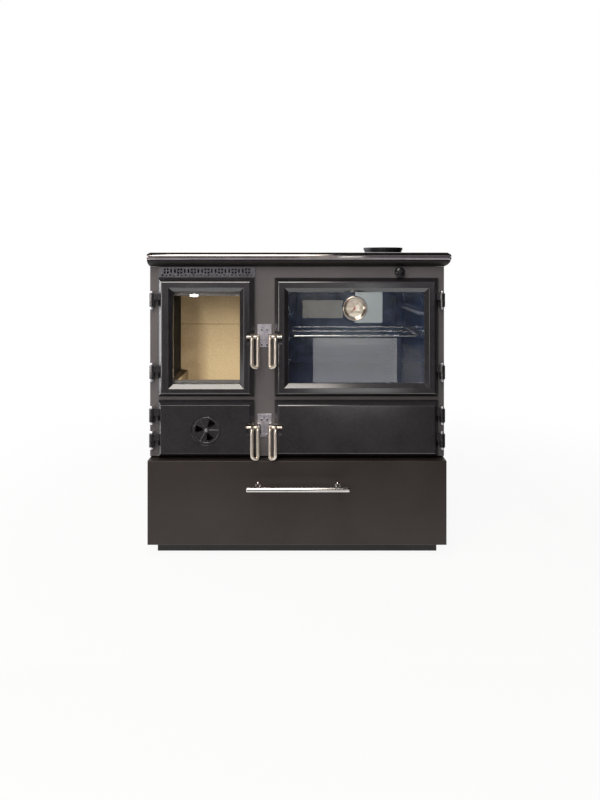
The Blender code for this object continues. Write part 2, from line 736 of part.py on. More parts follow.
def slab(name, x, z, levels, helper=False):
    """An upright slab: each level is a y value and how far the rectangle is drawn in there."""
    loops = []
    for y, by in levels:
        (left, right), (low, high) = inset(x, by), inset(z, by)
        loops.append([(left, y, low), (right, y, low), (right, y, high), (left, y, high)])
    return loft(name, loops, helper)


def make_cornice():
    """The moulding swells out from the body to the trim in the upper part of a quarter round."""
    loops = []
    start = math.radians(CORNICE_START_DEG)
    for i in range(CORNICE_STEPS + 1):
        turn = start + (math.pi / 2 - start) * i / CORNICE_STEPS
        out = (math.sin(turn) - math.sin(start)) / (1 - math.sin(start))
        left = -HALF_WIDTH - out * (-HALF_WIDTH - TRIM_X[0] - CORNICE_STEP_BACK)
        right = HALF_WIDTH + out * (TRIM_X[1] - HALF_WIDTH - CORNICE_STEP_BACK)
        front = FRONT_Y - out * (TRIM_FRONT_OVERHANG - CORNICE_STEP_BACK)
        height = CORNICE_TOP - CORNICE_HEIGHT * math.cos(turn) / math.cos(start)
        corners = ((left, front), (right, front), (right, INSIDE_BACK), (left, INSIDE_BACK))
        loops.append([(*corner, height) for corner in corners])
    cornice = loft("cornice_moulding", loops)
    inner = block(
        "cornice_inner", inset((-HALF_WIDTH, HALF_WIDTH), CORNICE_SEAT), (PLATE_BACK, BACK_Y),
        (CORNICE_BOTTOM - OVERRUN, CORNICE_TOP + OVERRUN), True,
    )
    return finish(cut(cornice, inner), CAST_PAINT)


def make_top_trim():
    trim = block("top_trim_frame", TRIM_X, TRIM_Y, (TRIM_BOTTOM, TOP_HEIGHT))
    round_edges(trim, TRIM_ROUNDING, TRIM_ROUNDING_STEPS)
    x, y = inset(TRIM_X, TRIM_RAIL), inset(TRIM_Y, TRIM_RAIL)
    seat = block("hob_seat", x, y, (TRIM_BOTTOM + TRIM_LEDGE_THICKNESS, TOP_HEIGHT + OVERRUN), True)
    hole = block(
        "trim_hole", inset(x, TRIM_LEDGE_WIDTH), inset(y, TRIM_LEDGE_WIDTH),
        (TRIM_BOTTOM - OVERRUN, TOP_HEIGHT), True,
    )
    return finish(cut(trim, seat, hole), POLISHED_STEEL)


def make_hob_plate():
    x = inset(TRIM_X, TRIM_RAIL + SEAT_GAP)
    y = inset(TRIM_Y, TRIM_RAIL + SEAT_GAP)
    plate = block("hob_plate", x, y, (HOB_BOTTOM, HOB_TOP))
    eye = (FIRE_X, HOB_EYE_Y)
    seat_z = HOB_TOP - RING_SEAT_DEPTH
    wide = rod(
        "ring_seat", RING_OUTER_RADIUS, (*eye, seat_z), (*eye, HOB_TOP + OVERRUN), "Z", True, ROUND_STEPS
    )
    narrow = rod(
        "ring_hole", RING_OUTER_RADIUS - RING_SEAT_WIDTH, (*eye, HOB_BOTTOM - OVERRUN), (*eye, HOB_TOP),
        "Z", True,
        ROUND_STEPS,
    )
    flue = (FLUE_X, FLUE_Y)
    bore = rod(
        "flue_hole", FLUE_BORE_RADIUS, (*flue, HOB_BOTTOM - OVERRUN), (*flue, HOB_TOP + OVERRUN), "Z", True,
        ROUND_STEPS,
    )
    return finish(cut(plate, wide, narrow, bore), IRON)


def make_hob_ring():
    outer = RING_OUTER_RADIUS - RING_PLAY
    bottom = SEAT_GAP - RING_SEAT_DEPTH
    seat = -LID_SEAT_DEPTH
    profile = [
        (outer, 0), (outer, bottom), (LID_RADIUS - LID_SEAT_WIDTH, bottom), (LID_RADIUS - LID_SEAT_WIDTH, seat),
        (LID_RADIUS, seat), (LID_RADIUS, 0),
    ]
    return finish(turned("hob_ring", profile, (FIRE_X, HOB_EYE_Y, HOB_TOP), closed=True), IRON, True)


def make_hob_lid():
    radius = LID_RADIUS - RING_PLAY
    bottom = SEAT_GAP - LID_SEAT_DEPTH
    boss = bottom - LID_BOSS_DEPTH
    profile = [
        (0, 0), (radius, 0), (radius, bottom), (LID_BOSS_RADIUS, bottom), (LID_BOSS_RADIUS, boss), (0, boss),
    ]
    lid = turned("hob_lid", profile, (FIRE_X, HOB_EYE_Y, HOB_TOP))
    slot = block(
        "lift_slot", around(FIRE_X, LIFT_SLOT_LENGTH), around(HOB_EYE_Y, LIFT_SLOT_WIDTH),
        (HOB_TOP - LIFT_SLOT_DEPTH, HOB_TOP + OVERRUN), True,
    )
    return finish(cut(lid, slot), IRON, True)


def make_flue_collar():
    base = SEAT_GAP
    flange = base + COLLAR_FLANGE_THICKNESS
    rim = COLLAR_HEIGHT - COLLAR_RIM_HEIGHT
    profile = [
        (FLUE_BORE_RADIUS, COLLAR_HEIGHT), (COLLAR_RIM_RADIUS, COLLAR_HEIGHT), (COLLAR_RIM_RADIUS, rim),
        (COLLAR_NECK_RADIUS, rim), (COLLAR_NECK_RADIUS, flange), (COLLAR_FLANGE_RADIUS, flange),
        (COLLAR_FLANGE_RADIUS, base), (FLUE_BORE_RADIUS, base),
    ]
    return finish(turned("flue_collar", profile, (FLUE_X, FLUE_Y, HOB_TOP), closed=True), IRON, True)


def make_flue_duct():
    """A square duct under the flue hole, slotted at the front for the damper plate."""
    x, y = around(FLUE_X, DUCT_WIDTH), around(FLUE_Y, DUCT_WIDTH)
    z = (HOB_BOTTOM - SEAT_GAP - DUCT_DROP, HOB_BOTTOM - SEAT_GAP)
    duct = block("flue_duct", x, y, z)
    bore = block("duct_bore", inset(x, DUCT_WALL), inset(y, DUCT_WALL), (z[0] - OVERRUN, z[1] + OVERRUN), True)
    slot = block(
        "damper_slot", inset(x, DUCT_WALL), (y[0] - OVERRUN, middle(y)),
        (DAMPER_Z - ROD_RADIUS - DAMPER_PLATE_THICKNESS - DAMPER_PLAY, DAMPER_Z + ROD_RADIUS + DAMPER_PLAY), True,
    )
    return finish(cut(duct, bore, slot), IRON)


def make_damper():
    """The plate in the duct with the rod welded onto it, and the knob at the front, on one slide."""
    front = FLUE_Y - DUCT_WIDTH / 2 + DUCT_WALL + DAMPER_PLAY / 2
    width = DUCT_WIDTH - 2 * DUCT_WALL - DAMPER_PLAY
    top = DAMPER_Z - ROD_RADIUS / 2
    plate = block(
        "damper_plate", around(FLUE_X, width), (front, front + width), (top - DAMPER_PLATE_THICKNESS, top)
    )
    knob_back = FRONT_Y - KNOB_STANDOFF
    socket = knob_back - KNOB_SOCKET_DEPTH
    ends = (FLUE_X, socket + SEAT_GAP, DAMPER_Z), (FLUE_X, front + DAMPER_LAP, DAMPER_Z)
    bar = rod("damper_rod", ROD_RADIUS, *ends, "Y", True)
    round_share = 0.5
    waist = KNOB_RADIUS * round_share
    profile = [(0, KNOB_LENGTH)]
    for i in range(KNOB_CROWN_STEPS):
        turn = math.pi / 2 * (i + 1) / KNOB_CROWN_STEPS
        profile.append((KNOB_RADIUS * math.sin(turn), KNOB_LENGTH - waist * (1 - math.cos(turn))))
    profile += [(KNOB_RADIUS, waist), (KNOB_NECK_RADIUS, 0), (ROD_RADIUS + SEAT_GAP, 0)]
    profile += [(ROD_RADIUS + SEAT_GAP, KNOB_SOCKET_DEPTH), (0, KNOB_SOCKET_DEPTH)]
    knob = turned("damper_knob", profile, (FLUE_X, knob_back, DAMPER_Z), "Y", KNOB_STEPS)
    finish(join(plate, bar), IRON, True)
    finish(knob, BLACK_PAINT, True)
    carry(axis_empty("damper_slide", (FLUE_X, FRONT_Y, DAMPER_Z)), plate, knob)


# Doors


def window_of(door):
    """The window's x and z pairs; the firebox window sits nearer the latch than the hinge."""
    low, high = door.z
    if door is FIREBOX_DOOR:
        return (
            inset(door.x, WINDOW_HINGE_RAIL, WINDOW_RAIL),
            (low + FIREBOX_WINDOW_BOTTOM_RAIL, high - FIREBOX_WINDOW_TOP_RAIL),
        )
    return inset(door.x, WINDOW_RAIL), (low + OVEN_WINDOW_BOTTOM_RAIL, high - WINDOW_RAIL)


def free_edge(door):
    """The x of the door's latch edge, and the direction from there to the column."""
    return (door.x[1], 1) if door.side < 0 else (door.x[0], -1)


def ring(name, x, y, z, width, helper=False):
    frame = block(name, x, y, z, helper)
    hole = block(
        name + "_hole", inset(x, width), (y[0] - OVERRUN, y[1] + OVERRUN), inset(z, width), True
    )
    return cut(frame, hole)


def door_blank(name, door):
    """The casting with its chamfered front edge, hinge arms, seal groove and latch notch."""
    levels = ((DOOR_FRONT, CHAMFER_WIDTH), (DOOR_FRONT + CHAMFER_DEPTH, 0), (DOOR_BACK, 0))
    blank = slab(name, door.x, door.z, levels)
    hinge_edge = door.x[0] if door.side < 0 else door.x[1]
    reach_x = sorted((door.side * HINGE_X, hinge_edge - door.side * CHAMFER_WIDTH / 2))
    reach_y = (HINGE_Y - ARM_THICKNESS / 2, DOOR_BACK - DOOR_GAP)
    for seam in door.seams:
        ends = seam + SEAT_GAP, seam + KNUCKLE_LENGTH
        join(blank, *hinge_knuckle(f"{name}_knuckle_{seam}", door, *ends, reach_x, reach_y))
    cut(blank, hinge_bore(name + "_bore", door))
    groove_y = (DOOR_BACK - SEAL_DEPTH, DOOR_BACK + OVERRUN)
    groove = inset(door.x, SEAL_INSET), groove_y, inset(door.z, SEAL_INSET)
    cut(blank, ring(name + "_groove", *groove, SEAL_WIDTH, True))
    edge, outward = free_edge(door)
    notch_x = sorted((edge - outward * NOTCH_WIDTH, edge + outward * OVERRUN))
    notch_y = (DOOR_FRONT - OVERRUN, DOOR_FRONT + NOTCH_DEPTH)
    notch_z = (door.axle_z - NOTCH_BELOW, door.axle_z + NOTCH_ABOVE)
    cut(blank, block(name + "_notch", notch_x, notch_y, notch_z, True))
    deep = edge - outward * (NOTCH_WIDTH + AXLE_BORE_DEPTH)
    near = edge - outward * (NOTCH_WIDTH - AXLE_RADIUS)
    ends = (deep, AXLE_Y, door.axle_z), (near, AXLE_Y, door.axle_z)
    return cut(blank, rod(name + "_axle_bore", AXLE_RADIUS + AXLE_PLAY, *ends, "X", True))


def make_seal(door):
    seal = ring(
        door.name + "_seal", inset(door.x, SEAL_INSET + SEAT_GAP),
        (DOOR_BACK - SEAL_DEPTH + SEAT_GAP, FRONT_Y - SEAT_GAP), inset(door.z, SEAL_INSET + SEAT_GAP),
        SEAL_WIDTH - 2 * SEAT_GAP,
    )
    return finish(seal, ROPE)


def make_glazed_door(door):
    """The frame, its glass and the retainer that holds the glass from behind."""
    x, z = window_of(door)
    frame = door_blank(door.name + "_frame", door)
    flare = INNER_BEVEL_WIDTH * (1 + OVERRUN / INNER_BEVEL_DEPTH)
    levels = ((DOOR_FRONT - OVERRUN, -flare), (DOOR_FRONT + INNER_BEVEL_DEPTH, 0), (DOOR_BACK + OVERRUN, 0))
    cut(frame, slab(door.name + "_window", x, z, levels, True))
    rebate_x, rebate_z = inset(x, -GLASS_REBATE), inset(z, -GLASS_REBATE)
    rebate_y = (GLASS_FRONT - SEAT_GAP, DOOR_BACK + OVERRUN)
    cut(frame, block(door.name + "_rebate", rebate_x, rebate_y, rebate_z, True))
    fit_x, fit_z = inset(rebate_x, SEAT_GAP), inset(rebate_z, SEAT_GAP)
    glass = block(door.name + "_glass", fit_x, (GLASS_FRONT, GLASS_BACK), fit_z)
    retainer_y = (GLASS_BACK + SEAT_GAP, GLASS_BACK + SEAT_GAP + RETAINER_THICKNESS)
    retainer = ring(door.name + "_glass_retainer", fit_x, retainer_y, fit_z, GLASS_REBATE - SEAT_GAP)
    seal = make_seal(door)
    return [finish(frame, CAST_PAINT), finish(glass, CLEAR_GLASS), finish(retainer, ZINC_SHEET), seal]


def make_panel_door(door):
    """A cast panel, hollowed from behind to its rim."""
    panel = door_blank(door.name + "_panel", door)
    hollow = block(
        door.name + "_hollow", inset(door.x, PANEL_RIM), (DOOR_FRONT + PANEL_THICKNESS, DOOR_BACK + OVERRUN),
        inset(door.z, PANEL_RIM), True,
    )
    return finish(cut(panel, hollow), CAST_PAINT)


def soften(points, bends):
    """The path with each inner corner rounded by a short curve that starts and ends bend away from it."""
    path = [Vector(points[0])]
    for before, corner, after, bend in zip(points, points[1:], points[2:], bends):
        corner = Vector(corner)
        start = corner + (Vector(before) - corner).normalized() * bend
        end = corner + (Vector(after) - corner).normalized() * bend
        for i in range(BEND_STEPS + 1):
            t = i / BEND_STEPS
            path.append(start * (1 - t) ** 2 + corner * 2 * t * (1 - t) + end * t**2)
    path.append(Vector(points[-1]))
    return path


def make_latch(door):
    """An axle across the door's notch with a loop handle that hangs from it, and a catch finger behind."""
    edge, outward = free_edge(door)

    def at(out, reach, drop):
        return edge + outward * out, AXLE_Y - reach, door.axle_z - drop

    inner_end = NOTCH_WIDTH + AXLE_BORE_DEPTH - 2 * SEAT_GAP
    tip = LOOP_INNER_OUT + LOOP_RADIUS
    name = door.name + "_latch"
    latch = rod(name, AXLE_RADIUS, at(-inner_end, 0, 0), at(tip, 0, 0), "X")
    lowest = LOOP_DROP - LOOP_RADIUS
    corners = (
        at(-LOOP_OUTER_IN, 0, 0), at(-LOOP_OUTER_IN, LOOP_REACH, 0),
        at(-LOOP_OUTER_IN, LOOP_REACH, lowest - LOOP_HEEL), at(LOOP_INNER_OUT, LOOP_INNER_REACH, lowest),
        at(LOOP_INNER_OUT, LOOP_INNER_REACH, 0), at(LOOP_INNER_OUT, 0, 0),
    )
    path = soften(corners, (LOOP_BEND, LOOP_BEND, LOOP_INNER_BEND, LOOP_INNER_BEND))
    loop = wire(name + "_loop", path, LOOP_RADIUS, helper=True, resolution=LOOP_ROUNDNESS)
    finger_x = sorted(at(out, 0, 0)[0] for out in around(LOOP_INNER_OUT, CATCH_WIDTH))
    finger = block(
        name + "_finger", finger_x, (AXLE_Y, AXLE_Y + CATCH_REACH), around(door.axle_z, CATCH_HEIGHT), True
    )
    return finish(join(latch, loop, finger), CHROME, True)


def make_hinge_pin(door, seam, place):
    """A pin through both knuckles, held by a domed nut at each end."""
    top = KNUCKLE_LENGTH + SEAT_GAP
    turns = [math.pi / 2 * i / DOME_STEPS for i in range(DOME_STEPS + 1)]
    dome = [(DOME_RADIUS * math.sin(turn), top + DOME_HEIGHT * math.cos(turn)) for turn in turns]
    upper = dome + [(PIN_RADIUS, top)]
    lower = [(radius, -height) for radius, height in reversed(upper)]
    pin = turned(
        f"{door.name}_hinge_pin_{place}", upper + lower, (door.side * HINGE_X, HINGE_Y, seam), steps=TINY_STEPS
    )
    return finish(pin, CHROME, True)


def make_keeper(name, axle_z):
    """A keeper plate on the column, wide above and narrow below, parted down the middle, with four bolts."""
    wide, tail = KEEPER_WIDTH / 2, KEEPER_TAIL_WIDTH / 2
    top, shoulder, bottom = axle_z + KEEPER_ABOVE, axle_z + KEEPER_SHOULDER, axle_z - KEEPER_BELOW
    right_side = [(tail, bottom), (tail, shoulder), (wide, shoulder), (wide, top)]
    left_side = [(-x, z) for x, z in reversed(right_side)]
    back = FRONT_Y - SEAT_GAP
    front = back - KEEPER_THICKNESS
    keeper = loft(name, [[(COLUMN_X + x, y, z) for x, z in right_side + left_side] for y in (front, back)])
    split = block(
        name + "_split", around(COLUMN_X, KEEPER_SPLIT), (front - OVERRUN, front + KEEPER_SPLIT_DEPTH),
        (bottom - OVERRUN, top + OVERRUN), True,
    )
    cut(keeper, split)
    for x in around(COLUMN_X, BOLT_SPACING):
        for z in (axle_z + UPPER_BOLT_ABOVE, axle_z - LOWER_BOLT_BELOW):
            ends = (x, front - BOLT_HEIGHT, z), (x, back - BOLT_HEIGHT, z)
            head = rod(f"{name}_bolt_{x:.3f}_{z:.3f}", BOLT_RADIUS, *ends, "Y", True, BOLT_STEPS)
            join(keeper, head)
    return finish(keeper, CHROME)


# Vent grille


def grille_height():
    top = CORNICE_BOTTOM - GRILLE_BELOW_CORNICE
    return top - GRILLE_HEIGHT, top


def arc(centre, radius, start, end, steps):
    """Points from one angle to another, in degrees from +X towards +Z."""
    points = []
    for i in range(steps + 1):
        turn = math.radians(start + (end - start) * i / steps)
        points.append((centre[0] + radius * math.cos(turn), centre[1] + radius * math.sin(turn)))
    return points


def medallion(centre):
    """The four openings of one medallion, left by its cross bars."""
    half = MEDALLION_BAR / 2
    half_share = 0.5
    span = math.degrees(math.asin(half / MEDALLION_RADIUS))
    openings = []
    for quarter in range(QUARTERS):
        turn = math.radians(QUARTER_TURN_DEG * (quarter + half_share))
        corner = (
            centre[0] + math.copysign(half, math.cos(turn)),
            centre[1] + math.copysign(half, math.sin(turn)),
        )
        start, end = QUARTER_TURN_DEG * quarter + span, QUARTER_TURN_DEG * (quarter + 1) - span
        openings.append([corner] + arc(centre, MEDALLION_RADIUS, start, end, QUARTER_STEPS))
    return openings


def oval(centre):
    turns = [2 * math.pi * i / OVAL_STEPS for i in range(OVAL_STEPS)]
    return [
        (centre[0] + OVAL_WIDTH / 2 * math.cos(turn), centre[1] + OVAL_HEIGHT / 2 * math.sin(turn)) for turn in turns
    ]


def make_vent_grille():
    low, high = grille_height()
    y = (FRONT_Y - SEAT_GAP - GRILLE_THICKNESS, FRONT_Y - SEAT_GAP)
    grille = block("vent_grille", (GRILLE_LEFT, GRILLE_RIGHT), y, (low, high))
    centre_x = middle((GRILLE_LEFT, GRILLE_RIGHT))
    row_z = high - GRILLE_RIM - MEDALLION_RADIUS
    openings = []
    for i in range(MEDALLION_COUNT):
        x = centre_x + (i - (MEDALLION_COUNT - 1) / 2) * MEDALLION_SPACING
        openings += medallion((x, row_z))
        if i < MEDALLION_COUNT - 1:
            between = x + MEDALLION_SPACING / 2
            openings += [oval((between - OVAL_OFFSET, row_z)), oval((between + OVAL_OFFSET, row_z))]
    lattice = (low + GRILLE_RIM, low + GRILLE_RIM + LATTICE_HEIGHT)
    count = int((GRILLE_RIGHT - GRILLE_LEFT - 2 * GRILLE_RIM) / LATTICE_PITCH)
    half = (LATTICE_PITCH - LATTICE_BAR) / 2
    for i in range(count):
        x = centre_x + (i - (count - 1) / 2) * LATTICE_PITCH
        foot, tip = lattice if i % 2 else reversed(lattice)
        openings.append([(x - half, foot), (x + half, foot), (x, tip)])
    cutter = outline_solid("grille_openings", openings, (y[0] - OVERRUN, y[1] + OVERRUN), True)
    return finish(cut(grille, cutter), CAST_PAINT)


# Air rosette


def make_rosette(panel):
    """The turning disc with its three air holes, seated in a recess of the ash door, and its centre screw."""
    floor = DOOR_FRONT + ROSETTE_RECESS_DEPTH
    back = floor - SEAT_GAP
    front = back - ROSETTE_THICKNESS
    centre = (ROSETTE_X, ROSETTE_Z)

    def place(y):
        return ROSETTE_X, y, ROSETTE_Z

    recess = rod(
        "rosette_recess", ROSETTE_RECESS_RADIUS, place(DOOR_FRONT - OVERRUN), place(floor), "Y", True,
        ROUND_STEPS,
    )
    holes = []
    for i in range(AIR_HOLE_COUNT):
        mid = AIR_HOLE_START_DEG + FULL_TURN_DEG * i / AIR_HOLE_COUNT
        ends = mid - AIR_HOLE_SPAN_DEG / 2, mid + AIR_HOLE_SPAN_DEG / 2
        inner = arc(centre, AIR_HOLE_INNER, *reversed(ends), AIR_HOLE_STEPS // 2)
        holes.append(arc(centre, AIR_HOLE_OUTER, *ends, AIR_HOLE_STEPS) + inner)
    air_holes = outline_solid("air_holes", holes, (DOOR_FRONT - OVERRUN, DOOR_BACK + OVERRUN), True)
    bore = rod(
        "rosette_bore", SCREW_RADIUS + SCREW_PLAY, place(DOOR_FRONT - OVERRUN),
        place(DOOR_BACK + OVERRUN), "Y", True,
        TINY_STEPS,
    )
    cut(panel, recess, air_holes, bore)
    disc = rod("air_rosette", ROSETTE_RADIUS, place(front), place(back), "Y", False, ROUND_STEPS)
    finish(cut(disc, air_holes, bore), CAST_PAINT, True)
    shank = ROSETTE_THICKNESS + 2 * SEAT_GAP + PANEL_THICKNESS - ROSETTE_RECESS_DEPTH + SCREW_PAST_PANEL
    crown_share = 0.6
    profile = [
        (0, SCREW_HEAD_HEIGHT), (SCREW_HEAD_RADIUS * crown_share, SCREW_HEAD_HEIGHT * (1 + crown_share) / 2),
        (SCREW_HEAD_RADIUS, SCREW_HEAD_HEIGHT / 2), (SCREW_HEAD_RADIUS, 0), (SCREW_RADIUS, 0),
        (SCREW_RADIUS, -shank), (0, -shank),
    ]
    screw = finish(turned("rosette_screw", profile, place(front - SEAT_GAP), "Y", TINY_STEPS), CHROME, True)
    return disc, screw


# Thermometer


def make_thermometer():
    well = GAUGE_RADIUS - GAUGE_BEZEL_WIDTH
    floor = GAUGE_DEPTH - GAUGE_WELL_DEPTH
    place = (GAUGE_X, GLASS_FRONT - SEAT_GAP, GAUGE_Z)
    profile = [
        (0, floor), (well, floor), (well, GAUGE_DEPTH - GAUGE_BEZEL_ROUNDING),
        (well + GAUGE_BEZEL_ROUNDING, GAUGE_DEPTH), (GAUGE_RADIUS - GAUGE_BEZEL_ROUNDING, GAUGE_DEPTH),
        (GAUGE_RADIUS, GAUGE_DEPTH - GAUGE_BEZEL_ROUNDING), (GAUGE_RADIUS, 0), (0, 0),
    ]
    case = finish(turned("thermometer_case", profile, place, "Y"), CHROME, True)
    dial_top = floor + SEAT_GAP + DIAL_THICKNESS
    radius = well - 2 * SEAT_GAP
    dial_profile = [(0, dial_top), (radius, dial_top), (radius, floor + SEAT_GAP), (0, floor + SEAT_GAP)]
    dial = finish(turned("thermometer_dial", dial_profile, place, "Y"), DIAL_FACE, True)
    return case, dial, make_needle(place[1] - dial_top)


def make_needle(dial_y):
    rest = math.radians(NEEDLE_REST_DEG)

    def swing(across, along):
        """A point of the needle, which lies along a compass angle from straight up."""
        x = GAUGE_X + along * math.sin(rest) + across * math.cos(rest)
        return x, GAUGE_Z + along * math.cos(rest) - across * math.sin(rest)

    half = NEEDLE_WIDTH / 2
    corners = (-half, -NEEDLE_TAIL), (half, -NEEDLE_TAIL), (half, 0), (0, NEEDLE_LENGTH), (-half, 0)
    outline = [swing(*corner) for corner in corners]
    back = dial_y - NEEDLE_LIFT
    needle = outline_solid("thermometer_needle", [outline], (back - NEEDLE_THICKNESS, back))
    hub = rod(
        "needle_hub", NEEDLE_HUB_RADIUS, (GAUGE_X, back - 2 * NEEDLE_THICKNESS, GAUGE_Z),
        (GAUGE_X, dial_y - SEAT_GAP, GAUGE_Z), "Y", True, TINY_STEPS,
    )
    return finish(join(needle, hub), NEEDLE_RED)


# Firebox


def make_firebox_shell():
    """One welded box: ash pit below, firebox above, a floor between them with the grate's opening."""
    top = TRIM_BOTTOM - SHELL_TOP_CLEARANCE
    shell = block("firebox_shell", (SHELL_LEFT, SHELL_RIGHT), (INSIDE_FRONT, SHELL_BACK), (SHELL_BOTTOM, top))
    y = (INSIDE_FRONT - OVERRUN, SHELL_INNER_BACK)
    pit = block("ash_pit", SHELL_X, y, (PIT_FLOOR, GRATE_FLOOR_BOTTOM), True)
    fire = block("fire_space", SHELL_X, y, (FIRE_FLOOR, top + OVERRUN), True)
    hole = block(
        "grate_hole", around(FIRE_X, GRATE_WIDTH - 2 * GRATE_SEAT),
        around(GRATE_Y, GRATE_DEPTH - 2 * GRATE_SEAT),
        (GRATE_FLOOR_BOTTOM - OVERRUN, FIRE_FLOOR + OVERRUN), True,
    )
    notch = block(
        "smoke_notch", (SHELL_X[1] - OVERRUN, SHELL_RIGHT + OVERRUN),
        around(middle((INSIDE_FRONT, SHELL_BACK)), SMOKE_NOTCH_DEPTH),
        (top - SMOKE_NOTCH_HEIGHT, top + OVERRUN), True,
    )
    return finish(cut(shell, pit, fire, hole, notch), IRON)


def make_firebricks():
    front = SHELL_INNER_BACK - SEAT_GAP - BRICK_THICKNESS
    bottom = FIRE_FLOOR + SEAT_GAP
    x = inset(SHELL_X, SEAT_GAP)
    back = block("firebrick_back", x, (front, front + BRICK_THICKNESS), (bottom, BACK_BRICK_TOP))
    joint = block(
        "brick_joint", inset(x, -OVERRUN), (front - OVERRUN, front + BRICK_JOINT_DEPTH),
        around(BRICK_JOINT_Z, BRICK_JOINT_WIDTH), True,
    )
    finish(cut(back, joint), FIREBRICK)
    y = (INSIDE_FRONT + BRICK_FRONT_CLEARANCE, front - SEAT_GAP)
    for name, side_x in (
        ("firebrick_left", (x[0], x[0] + SIDE_BRICK_THICKNESS)),
        ("firebrick_right", (x[1] - SIDE_BRICK_THICKNESS, x[1])),
    ):
        finish(block(name, side_x, y, (bottom, SIDE_BRICK_TOP)), FIREBRICK)


def make_grate():
    x, y = around(FIRE_X, GRATE_WIDTH), around(GRATE_Y, GRATE_DEPTH)
    z = (FIRE_FLOOR + SEAT_GAP, FIRE_FLOOR + SEAT_GAP + GRATE_THICKNESS)
    grate = block("fire_grate", x, y, z)
    pitch = GRATE_SLOT + GRATE_BAR
    count = int((GRATE_WIDTH - 2 * GRATE_RIM + GRATE_BAR) / pitch)
    for i in range(count):
        centre = FIRE_X + (i - (count - 1) / 2) * pitch
        slot = block(
            f"grate_slot_{i}", around(centre, GRATE_SLOT), inset(y, GRATE_RIM),
            (z[0] - OVERRUN, z[1] + OVERRUN), True,
        )
        cut(grate, slot)
    return finish(grate, IRON)


def make_ash_pan():
    x = inset(SHELL_X, ASH_PAN_SIDE_CLEARANCE)
    front = INSIDE_FRONT + ASH_PAN_FRONT_CLEARANCE
    y = (front, front + ASH_PAN_DEPTH)
    bottom = PIT_FLOOR + SEAT_GAP
    z = (bottom, bottom + ASH_PAN_HEIGHT)
    pan = block("ash_pan", x, y, z)
    hollow = block(
        "ash_pan_hollow", inset(x, ASH_PAN_SHEET), inset(y, ASH_PAN_SHEET),
        (z[0] + ASH_PAN_SHEET, z[1] + OVERRUN), True,
    )
    pull = block(
        "ash_pan_pull", around(FIRE_X, PULL_WIDTH), (front - PULL_REACH, front + ASH_PAN_SHEET / 2),
        around(middle(z), PULL_HEIGHT), True,
    )
    return finish(join(cut(pan, hollow), pull), ZINC_SHEET)


# Oven


def make_oven_box():
    x, z = inset(OVEN_X, -OVEN_SHEET), inset(OVEN_Z, -OVEN_SHEET)
    box = block("oven_box", x, (INSIDE_FRONT, OVEN_BACK + OVEN_SHEET), z)
    flange = block(
        "oven_flange", inset(x, -OVEN_FLANGE), (INSIDE_FRONT, INSIDE_FRONT + OVEN_SHEET),
        inset(z, -OVEN_FLANGE), True,
    )
    inner = block("oven_inner", OVEN_X, (INSIDE_FRONT - OVERRUN, OVEN_BACK), OVEN_Z, True)
    cut(join(box, flange), inner)
    rib_y = (INSIDE_FRONT + RIB_SETBACK, INSIDE_FRONT + RIB_SETBACK + RIB_LENGTH)
    sunk = OVEN_SHEET / 2
    for level in (-1, 0, 1):
        top = RACK_RIB_TOP + level * RIB_SPACING
        for side, rib_x in (
            ("left", (OVEN_X[0] - sunk, OVEN_X[0] + RIB_REACH)),
            ("right", (OVEN_X[1] - RIB_REACH, OVEN_X[1] + sunk)),
        ):
            join(box, block(f"oven_rib_{side}_{level}", rib_x, rib_y, (top - RIB_HEIGHT, top), True))
    return finish(box, ENAMEL)


def make_oven_rack():
    """A wire rack: a rounded frame, a cross wire under the middle, and bars from front to back."""
    x = inset(OVEN_X, RACK_SIDE_CLEARANCE + RACK_WIRE_RADIUS)
    y = (RACK_FRONT_Y, RACK_FRONT_Y + RACK_DEPTH)
    z = RACK_RIB_TOP + SEAT_GAP + RACK_WIRE_RADIUS
    start = (middle(x), y[0], z)
    corners = [start, (x[1], y[0], z), (x[1], y[1], z), (x[0], y[1], z), (x[0], y[0], z), start]
    path = soften(corners, [RACK_CORNER_RADIUS] * (len(corners) - 2))
    rack = wire("oven_rack", path[:-1], RACK_WIRE_RADIUS, cyclic=True)
    ends = (x[0], middle(y), z), (x[1], middle(y), z)
    join(rack, rod("rack_cross_wire", RACK_CROSS_RADIUS, *ends, "X", True, WIRE_STEPS))
    bar_z = z + RACK_WIRE_RADIUS
    for i in range(RACK_BAR_COUNT):
        bar_x = x[0] + (x[1] - x[0]) * (i + 1) / (RACK_BAR_COUNT + 1)
        ends = (bar_x, y[0] - RACK_BAR_RADIUS, bar_z), (bar_x, y[1] + RACK_BAR_RADIUS, bar_z)
        join(rack, rod(f"rack_bar_{i}", RACK_BAR_RADIUS, *ends, "Y", True, WIRE_STEPS))
    return finish(rack, CHROME, True)


# Drawer


def make_drawer_front():
    x, z = (-HALF_WIDTH, HALF_WIDTH), (DRAWER_BOTTOM, DRAWER_TOP)
    back = INSIDE_FRONT - DRAWER_BACK_CLEARANCE
    levels = ((DRAWER_FACE, DRAWER_EDGE_CHAMFER), (DRAWER_FACE + DRAWER_EDGE_CHAMFER, 0), (back, 0))
    front = slab("drawer_front", x, z, levels)
    hollow = block(
        "drawer_front_hollow", inset(x, DRAWER_SHEET), (DRAWER_FACE + DRAWER_SHEET, back + OVERRUN),
        inset(z, DRAWER_SHEET), True,
    )
    return finish(cut(front, hollow), DRAWER_PAINT)


